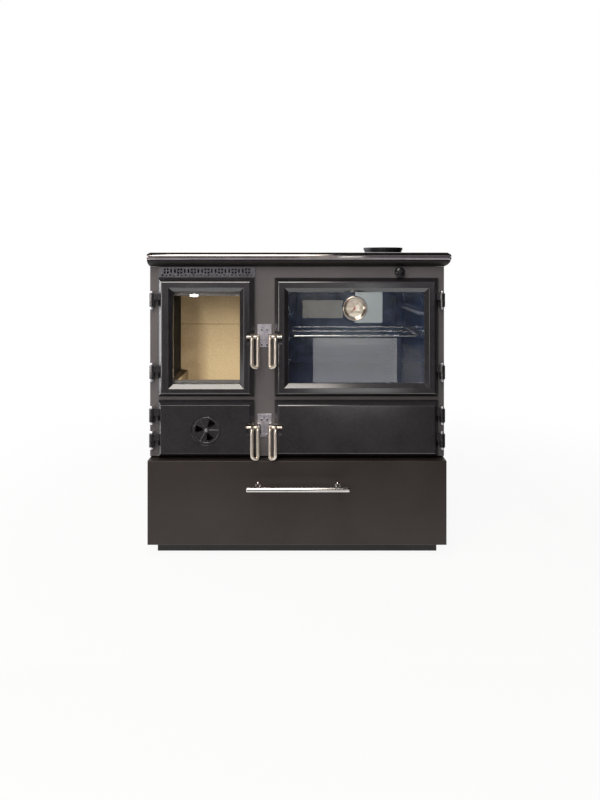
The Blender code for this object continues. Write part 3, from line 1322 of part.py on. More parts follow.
def make_drawer_box():
    x = around(0, DRAWER_BOX_WIDTH)
    y = (DRAWER_FACE + DRAWER_SHEET + SEAT_GAP, DRAWER_BOX_BACK)
    z = (DRAWER_BOX_BOTTOM, DRAWER_BOX_TOP)
    box = block("drawer_box", x, y, z)
    hollow = block(
        "drawer_hollow", inset(x, DRAWER_SHEET), inset(y, DRAWER_SHEET),
        (z[0] + DRAWER_SHEET, z[1] + OVERRUN), True,
    )
    return finish(cut(box, hollow), ZINC_SHEET)


def make_drawer_runner(name, side):
    """An angle on the side panel: its upright leg is fixed there and its ledge carries the drawer box."""
    top = DRAWER_BOX_BOTTOM - SEAT_GAP
    y = (INSIDE_FRONT + RUNNER_SETBACK, INSIDE_FRONT + RUNNER_SETBACK + RUNNER_LENGTH)
    ledge_x = sorted((side * INSIDE_HALF, side * (DRAWER_BOX_WIDTH / 2 - RUNNER_LAP)))
    upright_x = sorted((side * INSIDE_HALF, side * (INSIDE_HALF - RUNNER_THICKNESS)))
    ledge = block(name, ledge_x, y, (top - RUNNER_THICKNESS, top))
    upright = block(name + "_upright", upright_x, y, (top - RUNNER_THICKNESS / 2, top + RUNNER_HEIGHT), True)
    return finish(join(ledge, upright), ZINC_SHEET)


def make_drawer_handle():
    bar_y = DRAWER_FACE - BAR_REACH + BAR_RADIUS
    left, right = around(BAR_X, BAR_LENGTH)
    handle = rod(
        "drawer_handle", BAR_RADIUS, (left, bar_y, BAR_Z), (right, bar_y, BAR_Z), "X", False, SMALL_STEPS
    )
    seat = DRAWER_FACE - SEAT_GAP
    for x in around(BAR_X, STANDOFF_SPACING):
        post = rod(
            f"standoff_{x:.3f}", STANDOFF_RADIUS, (x, bar_y, BAR_Z), (x, seat, BAR_Z), "Y", True, TINY_STEPS
        )
        rose = rod(f"rose_{x:.3f}", ROSE_RADIUS, (x, seat - ROSE_THICKNESS, BAR_Z), (x, seat, BAR_Z), "Y", True)
        join(handle, post, rose)
    return finish(handle, POLISHED_STEEL, True)


# Assembly


def build_doors():
    hung = {}
    for door in (FIREBOX_DOOR, OVEN_DOOR):
        hung[door.name] = make_glazed_door(door)
    for door in (ASH_DOOR, SOOT_DOOR):
        hung[door.name] = [make_panel_door(door), make_seal(door)]
    case, dial, needle = make_thermometer()
    hung[OVEN_DOOR.name] += [case, dial]
    disc, screw = make_rosette(hung[ASH_DOOR.name][0])
    hung[ASH_DOOR.name].append(screw)
    for door in DOORS:
        hinge = axis_empty(door.name + "_hinge", (door.side * HINGE_X, HINGE_Y, middle(door.z)))
        edge, outward = free_edge(door)
        axle = axis_empty(door.name + "_latch_axis", (edge, AXLE_Y, door.axle_z))
        carry(axle, make_latch(door))
        carry(hinge, axle, *hung[door.name])
        for place, seam in zip(("upper", "lower"), door.seams):
            make_hinge_pin(door, seam, place)
        if door is OVEN_DOOR:
            pivot = axis_empty("needle_pivot", (GAUGE_X, GLASS_FRONT, GAUGE_Z))
            carry(pivot, needle)
            carry(hinge, pivot)
        if door is ASH_DOOR:
            pivot = axis_empty("rosette_pivot", (ROSETTE_X, DOOR_FRONT, ROSETTE_Z))
            carry(pivot, disc)
            carry(hinge, pivot)


def build_drawer():
    pieces = make_drawer_front(), make_drawer_box(), make_drawer_handle()
    carry(axis_empty("drawer_slide", (0, DRAWER_FACE, middle((DRAWER_BOTTOM, DRAWER_TOP)))), *pieces)
    make_drawer_runner("drawer_runner_left", -1)
    make_drawer_runner("drawer_runner_right", 1)


def build_body():
    make_plinth()
    make_side_panel("side_panel_left", -1)
    make_side_panel("side_panel_right", 1)
    make_back_panel()
    make_hearth_plate()
    make_front_plate()
    make_cornice()
    make_top_trim()
    make_vent_grille()
    make_keeper("keeper_upper", UPPER_AXLE_Z)
    make_keeper("keeper_lower", LOWER_AXLE_Z)


def build_top():
    make_hob_plate()
    make_hob_ring()
    make_hob_lid()
    make_flue_collar()
    make_flue_duct()
    make_damper()


def build_inside():
    make_firebox_shell()
    make_firebricks()
    make_grate()
    make_ash_pan()
    make_oven_box()
    make_oven_rack()


build_body()
build_top()
build_inside()
build_doors()
build_drawer()
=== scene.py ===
"""The looks of a wood-burning cooking stove with an oven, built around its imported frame.

Metres, +X to the viewer's right, +Y to the back, +Z up. The doors face the viewer.
"""

import math

import bmesh
import bpy
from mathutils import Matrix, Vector


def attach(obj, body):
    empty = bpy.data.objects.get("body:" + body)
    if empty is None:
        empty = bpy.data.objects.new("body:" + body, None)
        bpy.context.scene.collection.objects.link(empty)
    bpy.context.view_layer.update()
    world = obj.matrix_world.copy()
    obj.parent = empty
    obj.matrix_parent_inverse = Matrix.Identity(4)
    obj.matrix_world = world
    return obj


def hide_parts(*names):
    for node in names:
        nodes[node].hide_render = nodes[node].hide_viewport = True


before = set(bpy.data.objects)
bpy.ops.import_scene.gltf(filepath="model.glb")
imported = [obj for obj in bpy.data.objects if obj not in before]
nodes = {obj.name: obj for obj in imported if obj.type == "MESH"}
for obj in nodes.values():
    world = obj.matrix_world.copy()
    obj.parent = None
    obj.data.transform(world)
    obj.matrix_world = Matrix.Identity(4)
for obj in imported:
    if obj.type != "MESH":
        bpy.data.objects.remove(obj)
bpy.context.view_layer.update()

MM = 0.001
MERGE = 0.01 * MM

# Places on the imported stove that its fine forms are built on
BACK_Y = 0.320
FRONT_PLATE_Y = -0.230
LEFT_DOORS_X = -0.2585
RIGHT_DOORS_X = 0.1685
UPPER_DOORS_Z = 0.6195
LOWER_DOORS_Z = 0.3605
LEFT_DOOR_EDGE = -0.122
RIGHT_DOOR_EDGE = -0.064
HINGE_X = 0.412
HINGE_Y = -0.2455
UPPER_SEAMS = (0.7250, 0.5205)
LOWER_SEAMS = (0.3980, 0.3270)
AXLE_Y = -0.2500
UPPER_AXLE_Z = 0.6205
LOWER_AXLE_Z = 0.3645
COLUMN_X = -0.093
KEEPER_FACE_Y = -0.2343
FIRE_X = -0.25085
HOB_EYE_Y = -0.020
HOB_TOP = 0.858
FLUE_X = 0.291
FLUE_Y = 0.162
DAMPER_Z = 0.8045
GAUGE_X = 0.1635
GAUGE_Z = 0.702
ROSETTE_X = -0.256
ROSETTE_Z = 0.359


def linear(hex_colour):
    """An sRGB hex colour as linear red, green and blue, with an alpha of 1."""
    parts = [int(hex_colour[i : i + 2], 16) / 255 for i in (1, 3, 5)]
    return [p / 12.92 if p <= 0.04045 else ((p + 0.055) / 1.055) ** 2.4 for p in parts] + [1.0]


def feed(node, inputs):
    """Fills a node's inputs, with values or with other nodes' outputs."""
    for place, value in inputs.items():
        if isinstance(value, bpy.types.NodeSocket):
            node.id_data.links.new(value, node.inputs[place])
        else:
            node.inputs[place].default_value = value


def add(owner, kind, inputs=None, stops=None, **settings):
    """Adds one node to a material or to the world: its settings, its inputs and a ramp's two colours."""
    made = owner.node_tree.nodes.new("ShaderNode" + kind)
    for setting, value in settings.items():
        setattr(made, setting, value)
    feed(made, inputs or {})
    if stops:
        for element, (place, colour) in zip(made.color_ramp.elements, stops):
            element.position = place
            element.color = linear(colour)
    return made


def blank_material(name):
    """A material with only its shader and output, and the place on the piece in metres."""
    material = bpy.data.materials.new(name)
    material.use_nodes = True
    shader = material.node_tree.nodes["Principled BSDF"]
    place = add(material, "TexCoord").outputs["Object"]
    return material, shader, place


# Finishes. Pattern sizes are in millimetres on the object.

# A wave texture's bands are this far apart at a scale of 1
WAVE_PERIOD = math.pi / 10

# On the firebricks: from where to where painted shade darkens them more, upwards and to the left, where the window's
# frame shadows them, and soot blackens them
SHADE_Z = (0.62, 0.76)
SHADE_X = (-0.295, -0.335)
SOOT_Z = (0.735, 0.760)


def per_mm(size):
    """A texture's scale for features this many millimetres apart."""
    return 1 / (size * MM)


def hammered_enamel(name, low, high, dimple, depth, gloss):
    """Sprayed hammered enamel on cast iron: small dimples that break each highlight into grains.

    The real dimples are about 2 mm apart; they are drawn at twice to three times that so that they still show.
    """
    material, shader, place = blank_material(name)
    dimples = add(material, "TexVoronoi", {"Vector": place, "Scale": per_mm(dimple)}, feature="SMOOTH_F1")
    pits = add(material, "TexNoise", {"Vector": place, "Scale": per_mm(dimple * 0.6), "Detail": 2.0})
    mottle = add(material, "TexNoise", {"Vector": place, "Scale": per_mm(70), "Detail": 5.0, "Roughness": 0.6})
    grain = add(material, "Mix", {"Factor": 0.45, "A": dimples.outputs["Distance"], "B": pits.outputs["Fac"]})
    shade = add(material, "Mix", {"Factor": 0.30, "A": mottle.outputs["Fac"], "B": dimples.outputs["Distance"]})
    colour = add(material, "ValToRGB", {"Fac": shade.outputs["Result"]}, ((0.30, low), (0.72, high)))
    rough = add(material, "MapRange", {"Value": pits.outputs["Fac"], "To Min": gloss[0], "To Max": gloss[1]})
    relief = add(material, "Bump", {"Height": grain.outputs["Result"], "Distance": depth * MM, "Strength": 1.0})
    feed(shader, {
        "Base Color": colour.outputs["Color"],
        "Roughness": rough.outputs["Result"],
        "Normal": relief.outputs["Normal"],
        "Metallic": 0.30,
        "Coat Weight": 1.0,
        "Coat Roughness": 0.15,
        "Coat IOR": 1.9,
    })
    return material


def powder_coat(name, low, high, gloss, peel=2.6, depth=0.05, metallic=0.25):
    """Powder coat on sheet steel: a satin skin with fine orange peel and a metallic fleck."""
    material, shader, place = blank_material(name)
    skin = add(material, "TexNoise", {"Vector": place, "Scale": per_mm(peel), "Detail": 3.0})
    fleck = add(material, "TexVoronoi", {"Vector": place, "Scale": per_mm(peel * 0.7)})
    cloud = add(material, "TexNoise", {"Vector": place, "Scale": per_mm(180), "Detail": 4.0, "Roughness": 0.55})
    shade = add(material, "Mix", {"Factor": 0.22, "A": cloud.outputs["Fac"], "B": fleck.outputs["Distance"]})
    colour = add(material, "ValToRGB", {"Fac": shade.outputs["Result"]}, ((0.30, low), (0.70, high)))
    rough = add(material, "MapRange", {"Value": skin.outputs["Fac"], "To Min": gloss[0], "To Max": gloss[1]})
    relief = add(material, "Bump", {"Height": skin.outputs["Fac"], "Distance": depth * MM, "Strength": 1.0})
    feed(shader, {
        "Base Color": colour.outputs["Color"],
        "Roughness": rough.outputs["Result"],
        "Normal": relief.outputs["Normal"],
        "Metallic": metallic,
    })
    return material


def bright_metal(name, colour, smudged, gloss, brush=None, patch=22, stretch=(0.02, 1.0, 1.0)):
    """Plated or polished metal: mirror bright, with faint hand smudges and, where asked, brushing.

    The brushing runs along X, or as the stretch says.
    """
    material, shader, place = blank_material(name)
    smudge = add(material, "TexNoise", {"Vector": place, "Scale": per_mm(patch), "Detail": 4.0})
    tone = add(material, "ValToRGB", {"Fac": smudge.outputs["Fac"]}, ((0.35, colour), (0.75, smudged)))
    rough = add(material, "MapRange", {"Value": smudge.outputs["Fac"], "To Min": gloss[0], "To Max": gloss[1]})
    feed(shader, {"Base Color": tone.outputs["Color"], "Roughness": rough.outputs["Result"], "Metallic": 1.0})
    if brush:
        drawn = add(material, "Mapping", {"Vector": place, "Scale": stretch})
        lines = add(material, "TexNoise", {"Vector": drawn.outputs["Vector"], "Scale": per_mm(brush), "Detail": 2.0})
        relief = add(material, "Bump", {"Height": lines.outputs["Fac"], "Distance": 0.004 * MM, "Strength": 0.6})
        feed(shader, {"Normal": relief.outputs["Normal"]})
    return material


def cast_iron(name, low, high, gloss, sand=1.8, depth=0.12, metallic=0.55):
    """Sand-cast iron: a fine pebbled skin, darker where oil and soot have settled."""
    material, shader, place = blank_material(name)
    pebbles = add(material, "TexVoronoi", {"Vector": place, "Scale": per_mm(sand)}, feature="SMOOTH_F1")
    stain = add(material, "TexNoise", {"Vector": place, "Scale": per_mm(55), "Detail": 6.0, "Roughness": 0.65})
    colour = add(material, "ValToRGB", {"Fac": stain.outputs["Fac"]}, ((0.32, low), (0.70, high)))
    rough = add(material, "MapRange", {"Value": stain.outputs["Fac"], "To Min": gloss[0], "To Max": gloss[1]})
    relief = add(material, "Bump", {"Height": pebbles.outputs["Distance"], "Distance": depth * MM, "Strength": 0.8})
    feed(shader, {
        "Base Color": colour.outputs["Color"],
        "Roughness": rough.outputs["Result"],
        "Normal": relief.outputs["Normal"],
        "Metallic": metallic,
    })
    return material


def ground_iron():
    """A cooking plate of cast iron, ground flat and oiled: long grinding scratches under uneven oil."""
    material, shader, place = blank_material("ground_cast_iron")
    drawn = add(material, "Mapping", {"Vector": place, "Scale": (0.03, 1.0, 1.0)})
    scratches = add(material, "TexNoise", {"Vector": drawn.outputs["Vector"], "Scale": per_mm(1.6), "Detail": 3.0})
    oil = add(material, "TexNoise", {"Vector": place, "Scale": per_mm(90), "Detail": 5.0, "Roughness": 0.6})
    tone = add(material, "Mix", {"Factor": 0.35, "A": oil.outputs["Fac"], "B": scratches.outputs["Fac"]})
    colour = add(material, "ValToRGB", {"Fac": tone.outputs["Result"]}, ((0.32, "#2b2a2a"), (0.70, "#5a5857")))
    rough = add(material, "MapRange", {"Value": oil.outputs["Fac"], "To Min": 0.28, "To Max": 0.55})
    relief = add(material, "Bump", {"Height": scratches.outputs["Fac"], "Distance": 0.05 * MM, "Strength": 0.7})
    feed(shader, {
        "Base Color": colour.outputs["Color"],
        "Roughness": rough.outputs["Result"],
        "Normal": relief.outputs["Normal"],
        "Metallic": 0.8,
    })
    return material


def zinc_sheet():
    """Galvanised sheet: flat crystals about 14 mm across, each a slightly different grey."""
    material, shader, place = blank_material("galvanised_sheet")
    crystals = add(material, "TexVoronoi", {"Vector": place, "Scale": per_mm(14)})
    colour = add(material, "ValToRGB", {"Fac": crystals.outputs["Color"]}, ((0.10, "#7f8384"), (0.90, "#a3a6a6")))
    rough = add(material, "MapRange", {"Value": crystals.outputs["Color"], "To Min": 0.30, "To Max": 0.50})
    relief = add(material, "Bump", {"Height": crystals.outputs["Distance"], "Distance": 0.04 * MM, "Strength": 0.5})
    feed(shader, {
        "Base Color": colour.outputs["Color"],
        "Roughness": rough.outputs["Result"],
        "Normal": relief.outputs["Normal"],
        "Metallic": 0.9,
    })
    return material


def fireclay():
    """Fireclay brick: pressed tan clay with coarse grit, with painted shade towards the top and the left, where the
    window's frame shadows it.

    Above the window it is black with soot.
    """
    material, shader, place = blank_material("fireclay_brick")
    grit = add(material, "TexNoise", {"Vector": place, "Scale": per_mm(5), "Detail": 6.0, "Roughness": 0.7})
    pores = add(material, "TexVoronoi", {"Vector": place, "Scale": per_mm(9)})
    patch = add(material, "TexNoise", {"Vector": place, "Scale": per_mm(120), "Detail": 4.0})
    spot = add(material, "SeparateXYZ", {"Vector": place})
    # Painted shade: masks that darken the brick towards its top and towards its left, where the window's frame casts
    # its shadow on it
    smoke = add(
        material, "MapRange",
        {"Value": spot.outputs["Z"], "From Min": SHADE_Z[0], "From Max": SHADE_Z[1], "To Max": 1.1},
    )
    edge = add(
        material, "MapRange",
        {"Value": spot.outputs["X"], "From Min": SHADE_X[0], "From Max": SHADE_X[1], "To Max": 1.0},
    )
    smoked = add(material, "Math", {0: smoke.outputs["Result"], 1: edge.outputs["Result"]}, operation="MAXIMUM")
    # The painted shade, broken into random patches
    brown = add(material, "Math", {0: smoked.outputs["Value"], 1: patch.outputs["Fac"]}, operation="MULTIPLY")
    clay = add(material, "ValToRGB", {"Fac": grit.outputs["Fac"]}, ((0.25, "#b39c79"), (0.75, "#d5c3a3")))
    # The painted shade's dark brown, laid over the clay
    shaded_clay = add(
        material, "Mix", {"Factor": brown.outputs["Value"], "A": clay.outputs["Color"], "B": linear("#5a432c")},
        data_type="RGBA",
    )
    crown = add(material, "MapRange", {"Value": spot.outputs["Z"], "From Min": SOOT_Z[0], "From Max": SOOT_Z[1]})
    colour = add(
        material, "Mix", {"Factor": crown.outputs["Result"], "A": shaded_clay.outputs["Result"], "B": linear("#0b0a09")},
        data_type="RGBA",
    )
    surface = add(material, "Math", {0: grit.outputs["Fac"], 1: pores.outputs["Distance"]}, operation="MULTIPLY")
    relief = add(material, "Bump", {"Height": surface.outputs["Value"], "Distance": 0.5 * MM, "Strength": 0.7})
    feed(shader, {"Base Color": colour.outputs["Result"], "Roughness": 0.92, "Normal": relief.outputs["Normal"]})
    return material


def speckled_enamel():
    """Vitreous enamel baked on the oven's steel: glassy navy with pinhead white specks."""
    material, shader, place = blank_material("vitreous_enamel")
    specks = add(material, "TexVoronoi", {"Vector": place, "Scale": per_mm(7)})
    flow = add(material, "TexNoise", {"Vector": place, "Scale": per_mm(40), "Detail": 3.0})
    navy = add(material, "ValToRGB", {"Fac": flow.outputs["Fac"]}, ((0.30, "#24304a"), (0.75, "#3a4a6b")))
    spot = add(material, "MapRange", {"Value": specks.outputs["Distance"], "From Min": 0.13, "From Max": 0.09})
    colour = add(
        material, "Mix", {"Factor": spot.outputs["Result"], "A": navy.outputs["Color"], "B": linear("#7f8aa0")},
        data_type="RGBA",
    )
    relief = add(material, "Bump", {"Height": flow.outputs["Fac"], "Distance": 0.4 * MM, "Strength": 0.5})
    feed(shader, {
        "Base Color": colour.outputs["Result"],
        "Roughness": 0.16,
        "Normal": relief.outputs["Normal"],
        "Coat Weight": 0.6,
        "Coat Roughness": 0.14,
    })
    return material


def rope():
    """Braided glass-fibre rope: two families of strands, 3 mm apart, that cross each other."""
    material, shader, place = blank_material("glass_fibre_rope")
    strands = []
    for lean in (40, -40):
        way = add(material, "Mapping", {"Vector": place, "Rotation": (0.0, math.radians(lean), 0.0)})
        wave = {"Vector": way.outputs["Vector"], "Scale": per_mm(3) * WAVE_PERIOD, "Distortion": 1.5}
        strands.append(add(material, "TexWave", wave).outputs["Fac"])
    braid = add(material, "Math", {0: strands[0], 1: strands[1]}, operation="MAXIMUM")
    colour = add(material, "ValToRGB", {"Fac": braid.outputs["Value"]}, ((0.15, "#1f1f20"), (0.90, "#56565a")))
    relief = add(material, "Bump", {"Height": braid.outputs["Value"], "Distance": 0.6 * MM})
    feed(shader, {"Base Color": colour.outputs["Color"], "Roughness": 0.9, "Normal": relief.outputs["Normal"]})
    return material


def pane(name, tint):
    """Clear heat-proof glass. Its shadow is left out, so that the lamps light the brick and enamel behind it."""
    material, shader, place = blank_material(name)
    film = add(material, "TexNoise", {"Vector": place, "Scale": per_mm(80), "Detail": 3.0})
    rough = add(material, "MapRange", {"Value": film.outputs["Fac"], "To Min": 0.0, "To Max": 0.012})
    feed(shader, {
        "Base Color": linear(tint),
        "Roughness": rough.outputs["Result"],
        "Transmission Weight": 1.0,
        "IOR": 1.5,
    })
    ray = add(material, "LightPath")
    clear = add(material, "BsdfTransparent", {"Color": linear(tint)})
    either = {0: ray.outputs["Is Shadow Ray"], 1: shader.outputs["BSDF"], 2: clear.outputs["BSDF"]}
    mixed = add(material, "MixShader", either)
    feed(material.node_tree.nodes["Material Output"], {"Surface": mixed.outputs["Shader"]})
    return material


def printed_tin(name, colour, worn, gloss):
    """A printed or painted tin face: an even coat with faint uneven wear."""
    material, shader, place = blank_material(name)
    wear = add(material, "TexNoise", {"Vector": place, "Scale": per_mm(4), "Detail": 5.0, "Roughness": 0.7})
    tone = add(material, "ValToRGB", {"Fac": wear.outputs["Fac"]}, ((0.40, colour), (0.72, worn)))
    rough = add(material, "MapRange", {"Value": wear.outputs["Fac"], "To Min": gloss[0], "To Max": gloss[1]})
    feed(shader, {"Base Color": tone.outputs["Color"], "Roughness": rough.outputs["Result"]})
    return material


hammered_charcoal = hammered_enamel("hammered_enamel_charcoal", "#19171a", "#302e34", 6.0, 0.6, (0.34, 0.50))
hammered_graphite = hammered_enamel("hammered_enamel_graphite", "#4d4e53", "#73757c", 6.0, 0.6, (0.34, 0.50))
anthracite_coat = powder_coat("powder_coat_anthracite", "#636061", "#777475", (0.34, 0.50))
drawer_coat = powder_coat("powder_coat_brown_grey", "#302a28", "#3b3432", (0.36, 0.52), 3.0, 0.08)
stove_black = powder_coat("stove_paint_black", "#110e0c", "#1d1815", (0.42, 0.60), 2.4, 0.05, 0.0)
knuckle_black = hammered_enamel("hammered_enamel_black", "#0c0c0d", "#1a1a1d", 5.0, 0.5, (0.30, 0.45))
stainless = bright_metal("polished_stainless_steel", "#dad6d3", "#c9c5c1", (0.05, 0.11), 1.2)
stainless_rail = bright_metal(
    "polished_stainless_side_rail", "#dad6d3", "#c9c5c1", (0.05, 0.11), 1.2, stretch=(1.0, 0.02, 1.0)
)
chrome = bright_metal("chrome_plate", "#e6ddd2", "#d3c9be", (0.05, 0.14))
handle_chrome = bright_metal("satin_chrome_handle", "#fff7ea", "#f3e8d8", (0.34, 0.44))
keeper_zinc = bright_metal("zinc_plate_keeper", "#fbf9ff", "#cfccd6", (0.28, 0.44), patch=11)
chrome_wire = bright_metal("bright_zinc_wire", "#dfe1e4", "#b9bcc2", (0.10, 0.22))
hob_iron = ground_iron()
collar_iron = cast_iron("enamelled_cast_iron", "#242527", "#3b3c40", (0.30, 0.48))
sooty_steel = cast_iron("sooty_plate_steel", "#201e1e", "#3a3635", (0.55, 0.80), 2.6, 0.15, 0.35)
lamp_black = cast_iron("lamp_black_on_steel", "#0b0a0a", "#171514", (0.75, 0.92), 2.6, 0.15, 0.0)
galvanised = zinc_sheet()
brick = fireclay()
enamel = speckled_enamel()
fibre_rope = rope()
door_glass = pane("heat_proof_glass", "#f4f5f2")
lens_glass = pane("thermometer_lens_glass", "#fbfbf8")
dial_tin = printed_tin("printed_tin_dial", "#b3aca4", "#8c857d", (0.35, 0.5))
dial_ink = printed_tin("printing_ink_black", "#26221f", "#3a332d", (0.4, 0.55))
needle_paint = printed_tin("needle_paint_red", "#8e2a20", "#6d2019", (0.35, 0.5))
phenolic = powder_coat("phenolic_knob_black", "#17171a", "#232326", (0.16, 0.28), 6.0, 0.02, 0.0)


# Pieces


def piece(name, mesh, material, slot, body, *replaced):
    """One piece of the stove, in place, that rides on a body and stands for the nodes it replaces."""
    obj = bpy.data.objects.new(name, mesh)
    bpy.context.scene.collection.objects.link(obj)
    mesh.materials.clear()
    mesh.materials.append(material)
    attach(obj, body)
    if replaced:
        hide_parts(*replaced)
    return obj


def mesh_from(name, bm, crease=32):
    """The bmesh as a mesh, smooth except at edges sharper than the crease angle."""
    bmesh.ops.recalc_face_normals(bm, faces=bm.faces)
    mesh = bpy.data.meshes.new(name)
    bm.to_mesh(mesh)
    bm.free()
    mesh.shade_smooth()
    mesh.set_sharp_from_angle(angle=math.radians(crease))
    return mesh


def mesh_of_curve(name, curve):
    """The mesh that a curve or a text makes."""
    guide = bpy.data.objects.new(name + "_guide", curve)
    bpy.context.scene.collection.objects.link(guide)
    bpy.context.view_layer.update()
    made = bpy.data.meshes.new_from_object(guide.evaluated_get(bpy.context.evaluated_depsgraph_get()))
    bpy.data.objects.remove(guide, do_unlink=True)
    return made


def rounded(node, material, slot, body, width, segments=2, limit=30, share_at=None):
    """A node's shape with its edges rounded as casting, grinding or bending leaves them.

    Where share_at is given, it says for each sharp edge what share of the width it takes.
    """
    bm = bmesh.new()
    bm.from_mesh(nodes[node].data)
    bmesh.ops.remove_doubles(bm, verts=bm.verts, dist=MERGE)
    bmesh.ops.dissolve_limit(bm, angle_limit=math.radians(0.4), verts=bm.verts, edges=bm.edges)
    if share_at:
        bm.normal_update()
        shares = bm.edges.layers.float.new("bevel_weight_edge")
        for line in bm.edges:
            if len(line.link_faces) == 2 and line.calc_face_angle() > math.radians(limit):
                line[shares] = share_at(line)
    obj = piece(node + "_rounded", mesh_from(node + "_rounded", bm, 180), material, slot, body, node)
    edge = obj.modifiers.new("rounded_edges", "BEVEL")
    edge.width = width * MM
    edge.segments = segments
    edge.limit_method = "WEIGHT" if share_at else "ANGLE"
    edge.angle_limit = math.radians(limit)
    edge.use_clamp_overlap = True
    flat = obj.modifiers.new("flat_faces_stay_flat", "WEIGHTED_NORMAL")
    flat.weight = 100
    return obj


AIMS = {"up": (0, 0, 1), "front": (0, -1, 0), "back": (0, 1, 0), "right": (1, 0, 0)}


def lathed(name, profile, centre, aim, material, slot, body, *replaced, steps=96, closed=False):
    """A turned piece. The profile holds (radius, height) pairs in millimetres along the aim."""
    turn = Vector(AIMS[aim]).to_track_quat("Z", "Y")
    bm = bmesh.new()
    rings = []
    for radius, height in profile:
        count = steps if radius else 1
        angles = [2 * math.pi * i / count for i in range(count)]
        spots = [Vector((radius * math.cos(a), radius * math.sin(a), height)) * MM for a in angles]
        rings.append([bm.verts.new(turn @ spot + Vector(centre)) for spot in spots])
    pairs = list(zip(rings, rings[1:])) + ([(rings[-1], rings[0])] if closed else [])
    for one, other in pairs:
        for i in range(steps):
            corners = [one[i % len(one)], one[(i + 1) % len(one)], other[(i + 1) % len(other)], other[i % len(other)]]
            bm.faces.new(list(dict.fromkeys(corners)))
    return piece(name, mesh_from(name, bm), material, slot, body, *replaced)


def bent(points, bends, steps):
    """The path with each inner corner rounded; bends are in millimetres."""
    path = [Vector(points[0])]
    for before, corner, after, bend in zip(points, points[1:], points[2:], bends):
        corner = Vector(corner)
        start = corner + (Vector(before) - corner).normalized() * bend * MM
        end = corner + (Vector(after) - corner).normalized() * bend * MM
        for i in range(steps + 1):
            t = i / steps
            path.append(start * (1 - t) ** 2 + corner * 2 * t * (1 - t) + end * t**2)
    return path + [Vector(points[-1])]


def rod_along(name, points, radius, material, slot, body, *replaced, closed=False, facets=5):
    """Round bar or wire along a path, its radius in millimetres."""
    curve = bpy.data.curves.new(name, "CURVE")
    curve.dimensions = "3D"
    curve.bevel_depth = radius * MM
    curve.bevel_resolution = facets
    curve.use_fill_caps = not closed
    spline = curve.splines.new("POLY")
    spline.points.add(len(points) - 1)
    for knot, point in zip(spline.points, points):
        knot.co = (*point, 1)
    spline.use_cyclic_u = closed
    bm = bmesh.new()
    bm.from_mesh(mesh_of_curve(name, curve))
    bmesh.ops.remove_doubles(bm, verts=bm.verts, dist=MERGE)
    return piece(name, mesh_from(name, bm), material, slot, body, *replaced)


def dressed(node, material):
    """A node that keeps its own shape and only takes its finish."""
    nodes[node].data.materials.clear()
    nodes[node].data.materials.append(material)


def faces_take(obj, material, picks):
    """The faces whose middle meets the test take the second finish."""
    obj.data.materials.append(material)
    for face in obj.data.polygons:
        if picks(face.center):
            face.material_index = 1


def rim_loop(x, y, inset, corner, steps=6):
    """A rectangle with round corners, drawn in by the inset, as (x, y) points in metres."""
    (left, right), (front, back) = (x[0] + inset, x[1] - inset), (y[0] + inset, y[1] - inset)
    radius = max(corner - inset, 0.2 * MM)
    middles = (
        (right - radius, back - radius),
        (left + radius, back - radius),
        (left + radius, front + radius),
        (right - radius, front + radius),
    )
    points = []
    for turns, (middle_x, middle_y) in enumerate(middles):
        for i in range(steps + 1):
            turn = math.pi / 2 * (turns + i / steps)
            points.append((middle_x + radius * math.cos(turn), middle_y + radius * math.sin(turn)))
    return points


def banded(bm, rows):
    """Faces between each closed row of vertices and the next."""
    for row, after in zip(rows, rows[1:]):
        for i in range(len(row)):
            j = (i + 1) % len(row)
            bm.faces.new((row[i], row[j], after[j], after[i]))


def swept_rim(name, x, y, profile, corner, material, slot, body, *replaced):
    """A moulding that runs round a rectangle. The profile holds (inset, height) pairs in metres, closed."""
    bm = bmesh.new()
    rows = [[bm.verts.new((px, py, z)) for px, py in rim_loop(x, y, inset, corner)] for inset, z in profile]
    banded(bm, rows + rows[:1])
    return piece(name, mesh_from(name, bm, 40), material, slot, body, *replaced)


def rounded_block(name, x, y, z, edge, material, slot, body, *replaced):
    """A small solid bar with its edges eased, given by its extents in metres."""
    bm = bmesh.new()
    bmesh.ops.create_cube(bm, size=1)
    middle = Vector((sum(x), sum(y), sum(z))) / 2
    size = (x[1] - x[0], y[1] - y[0], z[1] - z[0])
    for vert in bm.verts:
        vert.co = middle + Vector(a * b for a, b in zip(vert.co, size))
    bmesh.ops.bevel(
        bm, geom=bm.edges, offset=edge * MM, segments=3, affect="EDGES", profile=0.5, clamp_overlap=True
    )
    return piece(name, mesh_from(name, bm, 40), material, slot, body, *replaced)


def quarter(radius, start, end, centre, steps):
    """Points of an arc as (radius, height) pairs about a centre, angles in degrees from the radius axis."""
    turns = [math.radians(start + (end - start) * i / steps) for i in range(steps + 1)]
    return [(centre[0] + radius * math.cos(t), centre[1] + radius * math.sin(t)) for t in turns]


# Body of sheet steel

for panel in ("side_panel_left", "side_panel_right", "back_panel"):
    rounded(panel, anthracite_coat, "body_paint", "stove_body", 0.8)
face_plate = rounded("front_plate", anthracite_coat, "body_paint", "stove_body", 1.0)
# The hinge knuckles stand out from the plate
faces_take(face_plate, knuckle_black, lambda c: c.y < FRONT_PLATE_Y - 0.2 * MM)
rounded("plinth", stove_black, "black_paint", "stove_body", 0.8)
dressed("hearth_plate", sooty_steel)
rounded("vent_grille", hammered_graphite, "black_paint", "stove_body", 0.8)
for runner in ("drawer_runner_left", "drawer_runner_right"):
    dressed(runner, galvanised)

# Sheet-metal screws round the back panel, each a pan head with a hexagon washer under it

